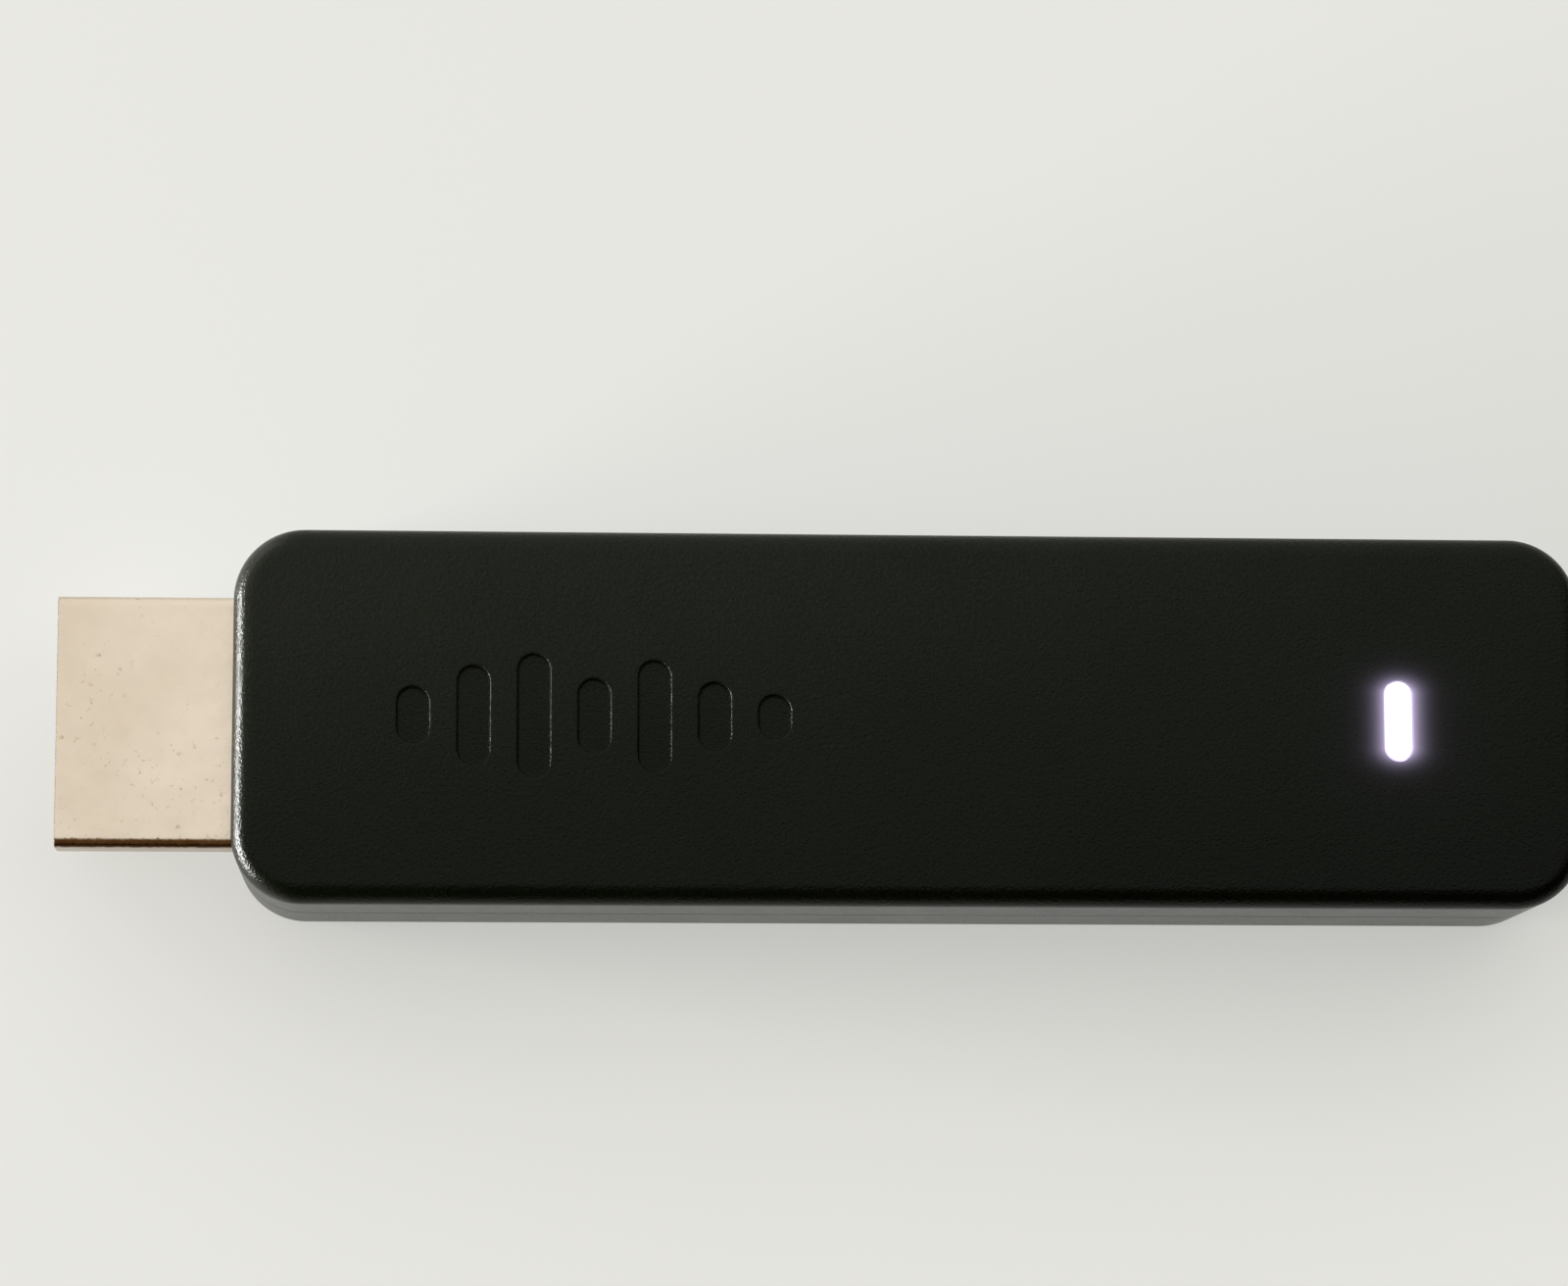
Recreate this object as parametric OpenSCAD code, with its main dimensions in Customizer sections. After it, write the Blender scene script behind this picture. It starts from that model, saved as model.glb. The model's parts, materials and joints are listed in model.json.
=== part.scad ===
// Streaming media stick: a two-shell plastic case with a video plug at one end,
// a small power socket at the other, a lit window in the roof and a reset button.
// Millimetres. The stick lies on its underside, with its plug towards -X.

/* [Case] */
// Length of the plastic case, without the plug
body_l = 74.2; // [72:0.1:78]
// Width of the case
body_w = 20.6; // [20:0.1:24]
// Height of the case
body_h = 12; // [11.6:0.1:14]
// Radius of the case's four corners, seen from above
corner_r = 3.9; // [3:0.1:5.5]
// Radius of the case's upper edge
top_edge_r = 1.1; // [0.6:0.1:1.4]
// Radius of the case's lower edge
bottom_edge_r = 0.8; // [0.4:0.1:1.2]
// Thickness of the side walls
wall_t = 1.3; // [1.2:0.05:1.5]
// Thickness of the roof
roof_t = 1.3; // [1:0.1:1.5]
// Thickness of the floor
floor_t = 1.2; // [1:0.1:1.5]
// Height of the joint between the two shells, where the plug and socket are centred
split_z = 6.15; // [5.9:0.05:6.4]
// Width of the joint line that shows round the case
seam_gap = 0.12; // [0.05:0.01:0.2]
// Height of the lip that locates one shell in the other
lip_h = 1; // [0.8:0.1:1.2]
// Thickness of the lip
lip_t = 0.55; // [0.4:0.05:0.7]

/* [Motif] */
// Depth of the sunk bars in the roof
motif_depth = 0.25; // [0.1:0.05:0.5]
// Length of the row of bars
motif_l = 21.4; // [16:0.1:24]
// Length of the longest bar, across the case
motif_w = 6.7; // [4:0.1:9]
// Width of each bar
motif_bar_w = 1.7; // [1:0.1:2.2]
// Distance from the plug's end of the case to the middle of the row
motif_from_end = 19.7; // [17:0.1:24]

/* [Status light] */
// Length of the lit window, across the case
light_l = 4.4; // [3.6:0.1:6]
// Width of the lit window
light_w = 1.5; // [1.4:0.1:2]
// Distance from the socket's end of the case to the middle of the window
light_from_end = 10.3; // [10.2:0.05:11.5]

/* [Plug] */
// Width of the video plug, a standard size
plug_w = 13.9; // [13.6:0.1:14.2]
// Height of the video plug, a standard size
plug_h = 4.45; // [4.3:0.05:4.6]
// How far the plug stands out of the case
plug_reach = 9.7; // [9:0.1:12]
// Height of the plug's upright sides
plug_side_h = 2.35; // [2.1:0.05:2.6]
// Width of the plug's narrow underside
plug_bottom_w = 10.4; // [10:0.1:11]
// Thickness of the plug's shell
plug_t = 0.3; // [0.2:0.01:0.35]
// Radius of the bends along the plug's shell
plug_bend_r = 0.55; // [0.45:0.05:0.7]
// Number of contacts in the upper row, which has one more than the lower row
contact_count = 10; // [8:1:10]
// Distance between neighbouring contacts of a row
contact_pitch = 1; // [0.8:0.05:1.1]

/* [Power socket] */
// Width of the power socket's shell
socket_w = 7.5; // [7.2:0.1:7.8]
// Height of the socket's shell
socket_h = 2.5; // [2.4:0.05:2.8]
// Depth of the socket's shell
socket_d = 5.6; // [5:0.1:6]
// Thickness of the socket's shell
socket_t = 0.3; // [0.2:0.01:0.35]
// How far the socket's mouth lies inside the case's end face
socket_setback = 0.5; // [0.3:0.1:0.8]

/* [Reset button] */
// Length of the button, along the case
button_l = 4.2; // [3.6:0.1:5]
// Height of the button
button_h = 2; // [1.6:0.1:2.2]
// How far the button's face lies inside the case's side
button_setback = 0.1; // [0.05:0.05:0.3]
// Travel of the button when it is pressed
button_travel = 0.3; // [0.2:0.05:0.35]
// Distance from the socket's end of the case to the middle of the button
button_from_end = 18; // [17:0.1:18.5]

/* [Inside] */
// Thickness of the circuit board
board_t = 1; // [0.8:0.1:1.2]
// Gap between the board's edge and the case's walls
board_gap = 0.35; // [0.25:0.05:0.45]
// Distance from the board's long edges to the shields
shield_from_edge = 1.25; // [1.15:0.05:1.35]
// Height of the shield frames
shield_h = 1.5; // [1.45:0.05:1.7]
// Thickness of the heat spreaders
spreader_t = 0.8; // [0.5:0.05:0.9]

/* [Hidden] */

// Smoothness of round parts, and the number of steps in a bend of the plug's or socket's shell
round_fn = 64;
arc_steps = 6;
// Overrun of every cut past the face that it opens
cut = 0.5;

// The plug's tip and the case's ends: the whole stick is centred on X
tip_x = -(body_l + plug_reach) / 2;
case_x0 = tip_x + plug_reach;
case_x1 = case_x0 + body_l;
case_mid_x = (case_x0 + case_x1) / 2;
roof_z = body_h - roof_t;
cavity_y = body_w / 2 - wall_t;

// The lip on the lower shell and its snap beads
lip_gap = 0.08;
lip_inset = wall_t - lip_t;
lip_top_z = split_z + lip_h;
rebate_top_z = lip_top_z + seam_gap;
snap_l = 4;
snap_h = 0.35;
snap_out = 0.18;
snap_gap = 0.06;
snap_shares = [-0.33, 0.02, 0.4];

// The circuit board
board_top = split_z + board_t / 2;
board_bottom = split_z - board_t / 2;
board_w = body_w - 2 * (wall_t + board_gap);
board_corner_r = corner_r - wall_t - board_gap;
board_from_front = 5.5;
board_x0 = case_x0 + board_from_front;
board_x1 = case_x1 - wall_t - board_gap;

// The posts that hold the board
post_r = 1.2;
pin_r = 0.6;
pin_gap = 0.08;
pin_l = 0.8;
post_in_x = 4;
post_in_y = 1.5;
post_before_light = 0.8;
post_y = board_w / 2 - post_in_y;
light_x = case_x1 - light_from_end;
post_xs = [board_x0 + post_in_x, light_x - post_before_light];

// The plug behind the front wall
plug_opening_gap = 0.08;
saddle_t = 1;
saddle_x = case_x0 + wall_t + saddle_t;
tube_past_front = 4.5;
tube_x1 = case_x0 + tube_past_front;
tab_l = 3;
tab_slot_gap = 0.08;
tip_step_l = 0.2;
tip_step = 0.05;
insulator_gap = 0.04;
insulator_setback = 0.6;
insulator_to_board = 0.1;
insulator_x0 = tip_x + insulator_setback;
insulator_x1 = board_x0 - insulator_to_board;
contact_slot_h = 2;
contact_slot_w = 11;
contact_slot_d = 7;
contact_w = 0.42;
contact_t = 0.2;
contact_stand = 0.1;
contact_setback = 1.3;
contact_gap = 0.03;
contact_reach = 0.7;
contact_tail_l = 1.3;
shell_seam_l = 10.5;
shell_seam_w = 0.12;
shell_seam_y = 1.2;

// The power socket
socket_x1 = case_x1 - socket_setback;
socket_x0 = socket_x1 - socket_d;
socket_side_h = 1.5;
socket_bottom_w = 5.7;
socket_bend_r = 0.4;
socket_opening_gap = 0.18;
socket_notch_gap = 0.1;
socket_rear_gap = 0.45;
tongue_w = 3.7;
tongue_h = 0.6;
tongue_raise = 0.25;
tongue_setback = 0.6;
socket_back_l = 1.4;
pin_count = 5;
pin_pitch = 0.65;
pin_w = 0.36;
pin_t = 0.12;
pin_reach = 0.3;
pin_tail_l = 0.7;
socket_tab_w = 1;
socket_tab_l = 1.4;

// The status light
window_gap = 0.05;
pipe_flange_out = 0.6;
pipe_flange_t = 0.6;
led_l = 2.8;
led_w = 1.2;
led_h = 0.7;
led_gap = 0.25;
gasket_t = 0.7;
gasket_gap = 0.1;
pipe_flange_z = roof_z - pipe_flange_t;

// The reset button and the switch behind it
button_x = case_x1 - button_from_end;
button_board_gap = 0.3;
button_flange_out = 0.6;
button_flange_t = 0.6;
button_flange_gap = 0.03;
button_hole_gap = 0.1;
button_z = board_top + button_board_gap + button_flange_out + button_h / 2;
button_flange_y1 = cavity_y - button_flange_gap;
button_flange_y0 = button_flange_y1 - button_flange_t;
switch_clearance = 0.15;
switch_y1 = button_flange_y0 - button_travel - switch_clearance;
switch_w = 4.4;
switch_d = 3.2;
switch_h = 2.9;
switch_wall_t = 0.45;
switch_front_t = 0.7;
switch_cover_t = 0.15;
switch_cover_leg = 1.2;
switch_y0 = switch_y1 - switch_d;
switch_top_z = board_top + switch_h;
plunger_w = 1.9;
plunger_h = 1;
plunger_slide_gap = 0.08;
plunger_rest_gap = 0.03;
plunger_shoulder_out = 0.3;
plunger_shoulder_t = 0.45;
plunger_nib_r = 0.35;
plunger_y0 = switch_y1 - switch_front_t - plunger_rest_gap - plunger_shoulder_t;
dome_r = 0.8;
dome_crown_r = 0.4;
dome_rise = 0.5;
dome_t = 0.08;
dome_y0 = switch_y0 + switch_wall_t;

// Sheet metal, chips and heat spreaders
sheet_t = 0.2;
shield_w = board_w - 2 * shield_from_edge;
shield_flange = 0.7;
shield_gap = 0.05;
shield_skirt = 1.1;
shield_past_board = 6.4;
hole_r = 0.4;
hole_in = 1.4;
hole_count = 9;
spreader_in_x = 0.8;
spreader_in_y = 0.5;
peg_share = 0.42;
peg_r = 0.7;
peg_gap = 0.1;
floor_rib_h = 0.6;
floor_rib_w = 1.8;
floor_rib_l = 12;
pad_in = 3.6;
upper_spreader_z = roof_z - spreader_t;
lower_spreader_z = floor_t + floor_rib_h;
upper_cover_z = board_top + shield_h + sheet_t;
lower_cover_z = board_bottom - shield_h - sheet_t;
dimple_r = 0.35;
dimple_depth = 0.05;
dimple_in = 0.9;
chip_gap = 1.2;
chip_room = 0.6;
processor_l = shield_w - 2 * (sheet_t + chip_room);
processor_base_t = 0.4;
processor_cap_t = 0.6;
processor_cap_in = 0.7;
memory_l = 7.5;
memory_in = 0.25;
memory_w = processor_l - 2 * memory_in;
memory_h = 1;
flash_l = 11.5;
flash_w = processor_l;
flash_h = 1;
power_l = 6;
power_h = 0.8;
inductor_l = 2.5;
inductor_h = 1.2;
inductor_cap_l = 0.5;
inductor_cap_t = 0.1;
inductor_y = 3;
wireless_l = 6.2;
wireless_h = 0.9;
crystal_l = 2.5;
crystal_w = 3.2;
crystal_h = 0.7;
crystal_lid_in = 0.25;
crystal_lid_t = 0.15;
capacitor_l = 0.6;
capacitor_w = 1;
capacitor_h = 0.5;
capacitor_count = 7;
capacitor_in = 0.9;
capacitor_pitch = (processor_l - capacitor_w - 2 * capacitor_in) / (capacitor_count - 1);
capacitor_gap = 0.5;

// The row of chips along the board: the shields take a share of the length that the chips leave
shield_room_share = 0.645;
chip_row_l = processor_l + memory_l + chip_gap + 2 * (capacitor_l + capacitor_gap + sheet_t);
radio_row_l = wireless_l + crystal_l + 3 * chip_gap / 2;
gasket_x0 = light_x - light_w / 2 - gasket_gap - gasket_t;
spare_l = gasket_x0 - board_x0 - shield_past_board - chip_row_l - radio_row_l;
shield_l = chip_row_l + shield_room_share * spare_l;
shield_x = board_x0 + shield_past_board + shield_l / 2;
hole_pitch = (shield_l - shield_w / 2 - hole_in) / (hole_count - 1);
processor_x = shield_x - (memory_l + chip_gap) / 2;
memory_x = processor_x + (processor_l + memory_l) / 2 + chip_gap;
flash_x = shield_x - (flash_l + chip_gap) / 2;
power_x = shield_x + (power_l + chip_gap) / 2;
inductor_x = power_x + (power_l + inductor_l) / 2 + chip_gap;
wireless_x = shield_x + (shield_l + wireless_l) / 2 + chip_gap;
crystal_x = wireless_x + (wireless_l + crystal_l + chip_gap) / 2;

// The surge arrays between the plug's contacts and the shield
surge_count = 3;
surge_l = 1.2;
surge_gap = 1;
surge_from_post = 1.25;
surge_row_l = 2 * (post_y - post_r - surge_from_post);
surge_w = (surge_row_l - (surge_count - 1) * surge_gap) / surge_count;
surge_h = 0.55;
surge_x = board_x0 + post_in_x;

// The stamped antennas
antenna_l = 4.6;
antenna_to_socket = 0.2;
antenna_h = 3.1;
antenna_leg_w = 0.8;
antenna_slot_w = 0.5;
antenna_in_x = 2;
antenna_in_y = 0.6;
antenna_y1 = board_w / 2 - antenna_in_y;
antenna_y0 = socket_w / 2 + socket_tab_w + antenna_to_socket;

// Outline of a slot with round ends, its long way along Y
module pill(l, w) {
    square([w, l - w], center = true);
    for (side = [-1, 1])
        translate([0, side * (l - w) / 2]) circle(d = w, $fn = round_fn);
}

// Outline of a rectangle with round corners
module round_plan(l, w, r) {
    square([l - 2 * r, w], center = true);
    square([l, w - 2 * r], center = true);
    for (side_x = [-1, 1], side_y = [-1, 1])
        translate([side_x * (l / 2 - r), side_y * (w / 2 - r)]) circle(r, $fn = round_fn);
}

// Quarter disc in the corner that points along +X and +Y
module quarter_disc(r) {
    intersection() {
        circle(r, $fn = round_fn);
        square(r);
    }
}

// Section of a slab's rim from its corner axis outwards, with a rounded upper edge
module rim_section(reach, h, r) {
    square([reach - r, h]);
    square([reach, h - r]);
    translate([reach - r, h - r]) quarter_disc(r);
}

// Slab with round corners and a rounded upper edge: a core, four edge runs and four turned corners
module rounded_slab(l, w, h, corner, edge) {
    half_l = l / 2 - corner;
    half_w = w / 2 - corner;
    translate([-half_l, -half_w, 0]) cube([2 * half_l, 2 * half_w, h]);
    for (side = [0, 1]) {
        rotate([90, 0, 90 + 180 * side])
            linear_extrude(2 * half_l, center = true)
                translate([half_w, 0]) rim_section(corner, h, edge);
        rotate([90, 0, 180 * side])
            linear_extrude(2 * half_w, center = true)
                translate([half_l, 0]) rim_section(corner, h, edge);
    }
    for (turn = [0:3])
        translate([(turn == 0 || turn == 3 ? 1 : -1) * half_l, (turn < 2 ? 1 : -1) * half_w, 0])
            rotate([0, 0, 90 * turn])
                rotate_extrude(angle = 90, $fn = round_fn) rim_section(corner, h, edge);
}

// Prism of the case's plan, drawn in by an inset
module case_prism(inset, z0, z1) {
    translate([case_mid_x, 0, z0])
        linear_extrude(z1 - z0)
            round_plan(body_l - 2 * inset, body_w - 2 * inset, corner_r - inset);
}

// Block between two corners
module block(low, high) {
    translate(low) cube(high - low);
}

// Block that stands on the middle of its underside
module stand(x, y, z, l, w, h) {
    translate([x - l / 2, y - w / 2, z]) cube([l, w, h]);
}

// Evenly spaced places about zero, such as a row's places across the plug
function row_places(count, pitch) = [for (i = [0:count - 1]) (i - (count - 1) / 2) * pitch];

// Inward normal of the edge from a to b of an outline that runs anticlockwise
function normal(a, b) = let (d = b - a) [-d[1], d[0]] / norm(d);

// How far a corner moves when both its edges move in by one
function corner_shift(p, i) =
    let (n = len(p),
        before = normal(p[(i + n - 1) % n], p[i]),
        after = normal(p[i], p[(i + 1) % n]))
    (before + after) / (1 + before * after);

// Outline whose edges have moved in by an inset
function drawn_in(p, inset) = [for (i = [0:len(p) - 1]) p[i] + inset * corner_shift(p, i)];

// Outline whose corners are arcs of radius r, each of a few short steps
function rounded(p, r) =
    [for (i = [0:len(p) - 1])
        let (n = len(p),
            before = normal(p[(i + n - 1) % n], p[i]),
            after = normal(p[i], p[(i + 1) % n]),
            start = atan2(-before[1], -before[0]),
            turn = acos(before * after),
            centre = p[i] + r * corner_shift(p, i))
        for (step = [0:arc_steps])
            centre + r * [cos(start + turn * step / arc_steps), sin(start + turn * step / arc_steps)]];

// Outline of a plug or socket, wide at the top and narrow at the bottom, anticlockwise
function tapered_outline(w, h, side_h, bottom_w) =
    [[w / 2, h / 2 - side_h], [w / 2, h / 2], [-w / 2, h / 2],
        [-w / 2, h / 2 - side_h], [-bottom_w / 2, -h / 2], [bottom_w / 2, -h / 2]];

// Prism of an outline in Y and Z, centred on the joint between the shells
module tapered_prism(outline, r, inset, x0, x1) {
    translate([x0, 0, split_z])
        rotate([90, 0, 90])
            linear_extrude(x1 - x0) polygon(rounded(drawn_in(outline, inset), r - inset));
}

module plug_prism(inset, x0, x1) {
    tapered_prism(tapered_outline(plug_w, plug_h, plug_side_h, plug_bottom_w), plug_bend_r,
        inset, x0, x1);
}

module socket_prism(inset, x0, x1) {
    tapered_prism(tapered_outline(socket_w, socket_h, socket_side_h, socket_bottom_w), socket_bend_r,
        inset, x0, x1);
}

// Prism of the button's outline, grown by out, from y0 to y1
module button_prism(out, y0, y1) {
    translate([button_x, y1, button_z])
        rotate([90, 90, 0])
            linear_extrude(y1 - y0) pill(button_l + 2 * out, button_h + 2 * out);
}

// Prism of the lit window's outline, grown by out
module window_prism(out, z0, z1) {
    translate([light_x, 0, z0])
        linear_extrude(z1 - z0) pill(light_l + 2 * out, light_w + 2 * out);
}

// Openings at both ends of the case
module end_openings() {
    plug_prism(-plug_opening_gap, case_x0 - cut, saddle_x + saddle_t + cut);
    socket_prism(-socket_opening_gap, case_x1 - wall_t - cut, case_x1 + cut);
}

// Beads on the lip's outer face, grown by out to make their recesses
module snap_beads(out) {
    bead_z = (split_z + seam_gap + lip_top_z) / 2;
    for (share = snap_shares, side = [-1, 1])
        translate([case_mid_x + share * body_l, side * (body_w / 2 - lip_inset), bead_z])
            cube([snap_l + 2 * out, 2 * (snap_out + out), snap_h + 2 * out], center = true);
}

// Sunk bars of unlike lengths, as shares of the longest one
motif_shares = [0.45, 0.8, 1, 0.6, 0.9, 0.55, 0.35];

module motif_cuts() {
    places = row_places(len(motif_shares), (motif_l - motif_bar_w) / (len(motif_shares) - 1));
    for (i = [0:len(motif_shares) - 1])
        translate([case_x0 + motif_from_end + places[i], 0, body_h - motif_depth])
            linear_extrude(motif_depth + cut) pill(motif_w * motif_shares[i], motif_bar_w);
}

// Upright round bars at the four places of the board's posts
module at_posts(r, z0, z1) {
    for (x = post_xs, side = [-1, 1])
        translate([x, side * post_y, z0]) cylinder(r = r, h = z1 - z0, $fn = round_fn);
}

// Upright round bars at the two places of a heat spreader's pegs
module at_pegs(r, z0, z1) {
    for (side = [-1, 1])
        translate([shield_x + side * peg_share * shield_l, 0, z0])
            cylinder(r = r, h = z1 - z0, $fn = round_fn);
}

module upper_housing() color([0.12, 0.13, 0.105]) {
    difference() {
        union() {
            difference() {
                translate([case_mid_x, 0, split_z + seam_gap])
                    rounded_slab(body_l, body_w, body_h - split_z - seam_gap, corner_r, top_edge_r);
                case_prism(wall_t, split_z, roof_z);
                case_prism(lip_inset - lip_gap, split_z, rebate_top_z);
            }
            block([saddle_x, -cavity_y - lip_gap, rebate_top_z],
                [saddle_x + saddle_t, cavity_y + lip_gap, roof_z + roof_t / 2]);
            intersection() {
                block([saddle_x, -cavity_y, split_z + seam_gap], [saddle_x + saddle_t, cavity_y, roof_z]);
                case_prism(wall_t + lip_gap, split_z, roof_z);
            }
            at_posts(post_r, board_top, roof_z + roof_t / 2);
            at_pegs(peg_r, upper_spreader_z, roof_z + roof_t / 2);
        }
        snap_beads(snap_gap);
        end_openings();
        button_prism(button_hole_gap, cavity_y - cut, body_w / 2 + cut);
        window_prism(window_gap, roof_z - cut, body_h + cut);
        at_posts(pin_r + pin_gap, board_top - cut, board_top + pin_l + pin_gap);
        motif_cuts();
    }
}

module lower_housing() color([0.12, 0.13, 0.105]) {
    difference() {
        union() {
            difference() {
                union() {
                    translate([case_mid_x, 0, split_z])
                        mirror([0, 0, 1]) rounded_slab(body_l, body_w, split_z, corner_r, bottom_edge_r);
                    case_prism(lip_inset, floor_t, lip_top_z);
                    snap_beads(0);
                }
                case_prism(wall_t, floor_t, lip_top_z + cut);
            }
            block([saddle_x, -cavity_y - lip_gap, floor_t / 2],
                [saddle_x + saddle_t, cavity_y + lip_gap, split_z]);
            at_posts(post_r, floor_t / 2, board_bottom);
            at_posts(pin_r, floor_t / 2, board_top + pin_l);
            for (side = [-1, 0, 1])
                stand(shield_x + side * peg_share * shield_l, 0, floor_t / 2, floor_rib_w, floor_rib_l,
                    floor_rib_h + floor_t / 2);
            at_pegs(peg_r, floor_t / 2, lower_spreader_z + spreader_t);
        }
        end_openings();
    }
}

module light_pipe() color([0.93, 0.9, 1]) {
    window_prism(0, board_top + led_h + led_gap, body_h);
    window_prism(pipe_flange_out, pipe_flange_z, roof_z);
}

module light_gasket() color([0.05, 0.05, 0.05]) {
    difference() {
        window_prism(gasket_gap + gasket_t, board_top, pipe_flange_z);
        window_prism(gasket_gap, board_top - cut, pipe_flange_z + cut);
    }
}

module reset_button() color([0.1, 0.11, 0.09]) {
    button_prism(0, button_flange_y0, body_w / 2 - button_setback);
    button_prism(button_flange_out, button_flange_y0, button_flange_y1);
}

// Block in the switch, centred on the button: half its width, its ends and half its height
module switch_block(half_w, y0, y1, half_h) {
    block([button_x - half_w, y0, button_z - half_h], [button_x + half_w, y1, button_z + half_h]);
}

module reset_switch_body() color([0.08, 0.08, 0.09]) {
    difference() {
        block([button_x - switch_w / 2, switch_y0, board_top],
            [button_x + switch_w / 2, switch_y1, switch_top_z]);
        block([button_x - switch_w / 2 + switch_wall_t, dome_y0, board_top + switch_wall_t],
            [button_x + switch_w / 2 - switch_wall_t, switch_y1 - switch_front_t, switch_top_z + cut]);
        switch_block(plunger_w / 2 + plunger_slide_gap, switch_y1 - switch_front_t - cut, switch_y1 + cut,
            plunger_h / 2 + plunger_slide_gap);
    }
}

module reset_switch_plunger() color([0.85, 0.84, 0.8]) {
    nib_y1 = plunger_y0 + plunger_shoulder_t / 2;
    switch_block(plunger_w / 2, plunger_y0, button_flange_y0, plunger_h / 2);
    switch_block(plunger_w / 2 + plunger_shoulder_out, plunger_y0, plunger_y0 + plunger_shoulder_t,
        plunger_h / 2 + plunger_shoulder_out);
    translate([button_x, nib_y1, button_z])
        rotate([90, 0, 0])
            cylinder(r = plunger_nib_r, h = nib_y1 - dome_y0 - dome_rise - plunger_rest_gap, $fn = round_fn);
}

module reset_switch_dome() color([0.8, 0.8, 0.82]) {
    translate([button_x, dome_y0, button_z])
        rotate([-90, 0, 0])
            rotate_extrude($fn = round_fn)
                polygon([[0, dome_rise - dome_t], [dome_crown_r - dome_t, dome_rise - dome_t],
                    [dome_r - 2 * dome_t, 0], [dome_r, 0], [dome_crown_r, dome_rise], [0, dome_rise]]);
}

module reset_switch_cover() color([0.75, 0.75, 0.77]) {
    block([button_x - switch_w / 2 - switch_cover_t, switch_y0, switch_top_z],
        [button_x + switch_w / 2 + switch_cover_t, switch_y1, switch_top_z + switch_cover_t]);
    for (side = [-1, 1])
        stand(button_x + side * (switch_w + switch_cover_t) / 2, (switch_y0 + switch_y1) / 2,
            switch_top_z - switch_cover_leg, switch_cover_t, switch_d / 2,
            switch_cover_leg + switch_cover_t);
}

module plug_shell() color([0.84, 0.79, 0.7]) {
    tab_y = (plug_w - plug_t) / 2;
    tab_z0 = split_z + plug_h / 2 - plug_side_h + plug_bend_r;
    tab_z1 = split_z + plug_h / 2 - plug_bend_r;
    tab_x1 = tube_x1 + tab_l;
    difference() {
        union() {
            plug_prism(tip_step, tip_x, tip_x + 2 * tip_step_l);
            plug_prism(0, tip_x + tip_step_l, tube_x1);
            for (side = [-1, 1]) {
                stand((tube_x1 - plug_t + tab_x1) / 2, side * tab_y, tab_z0, tab_l + plug_t, plug_t,
                    tab_z1 - tab_z0);
                stand((board_x0 + tab_x1) / 2, side * tab_y, board_bottom, tab_x1 - board_x0, plug_t,
                    tab_z1 - board_bottom);
            }
        }
        plug_prism(plug_t, tip_x - cut, tube_x1 + cut);
        block([tip_x - cut, shell_seam_y, split_z - plug_h / 2 - cut],
            [tip_x + shell_seam_l, shell_seam_y + shell_seam_w, split_z - plug_h / 2 + plug_t + cut]);
    }
}

// One row of the plug's contacts, drawn above zero as the middle of the board
module contact_row(count) {
    level = contact_slot_h / 2 - contact_stand;
    rear_x = insulator_x1 + contact_reach;
    for (y = row_places(count, contact_pitch))
        translate([0, y - contact_w / 2, 0]) {
            block([tip_x + contact_setback, 0, level], [rear_x, contact_w, level + contact_t]);
            block([rear_x - contact_t, 0, board_t / 2], [rear_x, contact_w, level + contact_t]);
            block([rear_x - contact_t, 0, board_t / 2],
                [rear_x + contact_tail_l, contact_w, board_t / 2 + contact_t]);
        }
}

// Grooves in the insulator for one row of contacts
module contact_grooves(count) {
    level = contact_slot_h / 2 - contact_stand;
    for (y = row_places(count, contact_pitch))
        block([tip_x + contact_setback - contact_gap, y - contact_w / 2 - contact_gap, level - contact_gap],
            [insulator_x1 + cut, y + contact_w / 2 + contact_gap, level + contact_t + contact_gap]);
}

module plug_insulator() color([0.07, 0.07, 0.07]) {
    difference() {
        plug_prism(plug_t + insulator_gap, insulator_x0, insulator_x1);
        block([insulator_x0 - cut, -contact_slot_w / 2, split_z - contact_slot_h / 2],
            [insulator_x0 + contact_slot_d, contact_slot_w / 2, split_z + contact_slot_h / 2]);
        translate([0, 0, split_z]) {
            contact_grooves(contact_count);
            mirror([0, 0, 1]) contact_grooves(contact_count - 1);
        }
    }
}

module plug_upper_contacts() color([0.85, 0.68, 0.3]) {
    translate([0, 0, split_z]) contact_row(contact_count);
}

module plug_lower_contacts() color([0.85, 0.68, 0.3]) {
    translate([0, 0, split_z]) mirror([0, 0, 1]) contact_row(contact_count - 1);
}

module circuit_board() color([0.05, 0.3, 0.17]) {
    slot_y = (plug_w - plug_t) / 2;
    slot_half = plug_t / 2 + tab_slot_gap;
    difference() {
        translate([(board_x0 + board_x1) / 2, 0, board_bottom])
            linear_extrude(board_t) round_plan(board_x1 - board_x0, board_w, board_corner_r);
        block([socket_x0 - socket_rear_gap, -socket_w / 2 - socket_notch_gap, board_bottom - cut],
            [board_x1 + cut, socket_w / 2 + socket_notch_gap, board_top + cut]);
        for (side = [-1, 1])
            block([board_x0 - cut, side * slot_y - slot_half, board_bottom - cut],
                [tube_x1 + tab_l + tab_slot_gap, side * slot_y + slot_half, board_top + cut]);
        at_posts(pin_r + pin_gap, board_bottom - cut, board_top + cut);
    }
}

// Places what is drawn above zero on the board's upper face
module on_board() {
    translate([0, 0, board_top]) children();
}

// Places what is drawn above zero, upside down, on the board's lower face
module under_board() {
    translate([0, 0, board_bottom]) mirror([0, 0, 1]) children();
}

// Chip with a dimple that marks its first corner
module chip(x, l, w, h) {
    difference() {
        stand(x, 0, 0, l, w, h);
        translate([x - l / 2 + dimple_in, dimple_in - w / 2, h - dimple_depth])
            cylinder(r = dimple_r, h = dimple_depth + cut, $fn = round_fn);
    }
}

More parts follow.
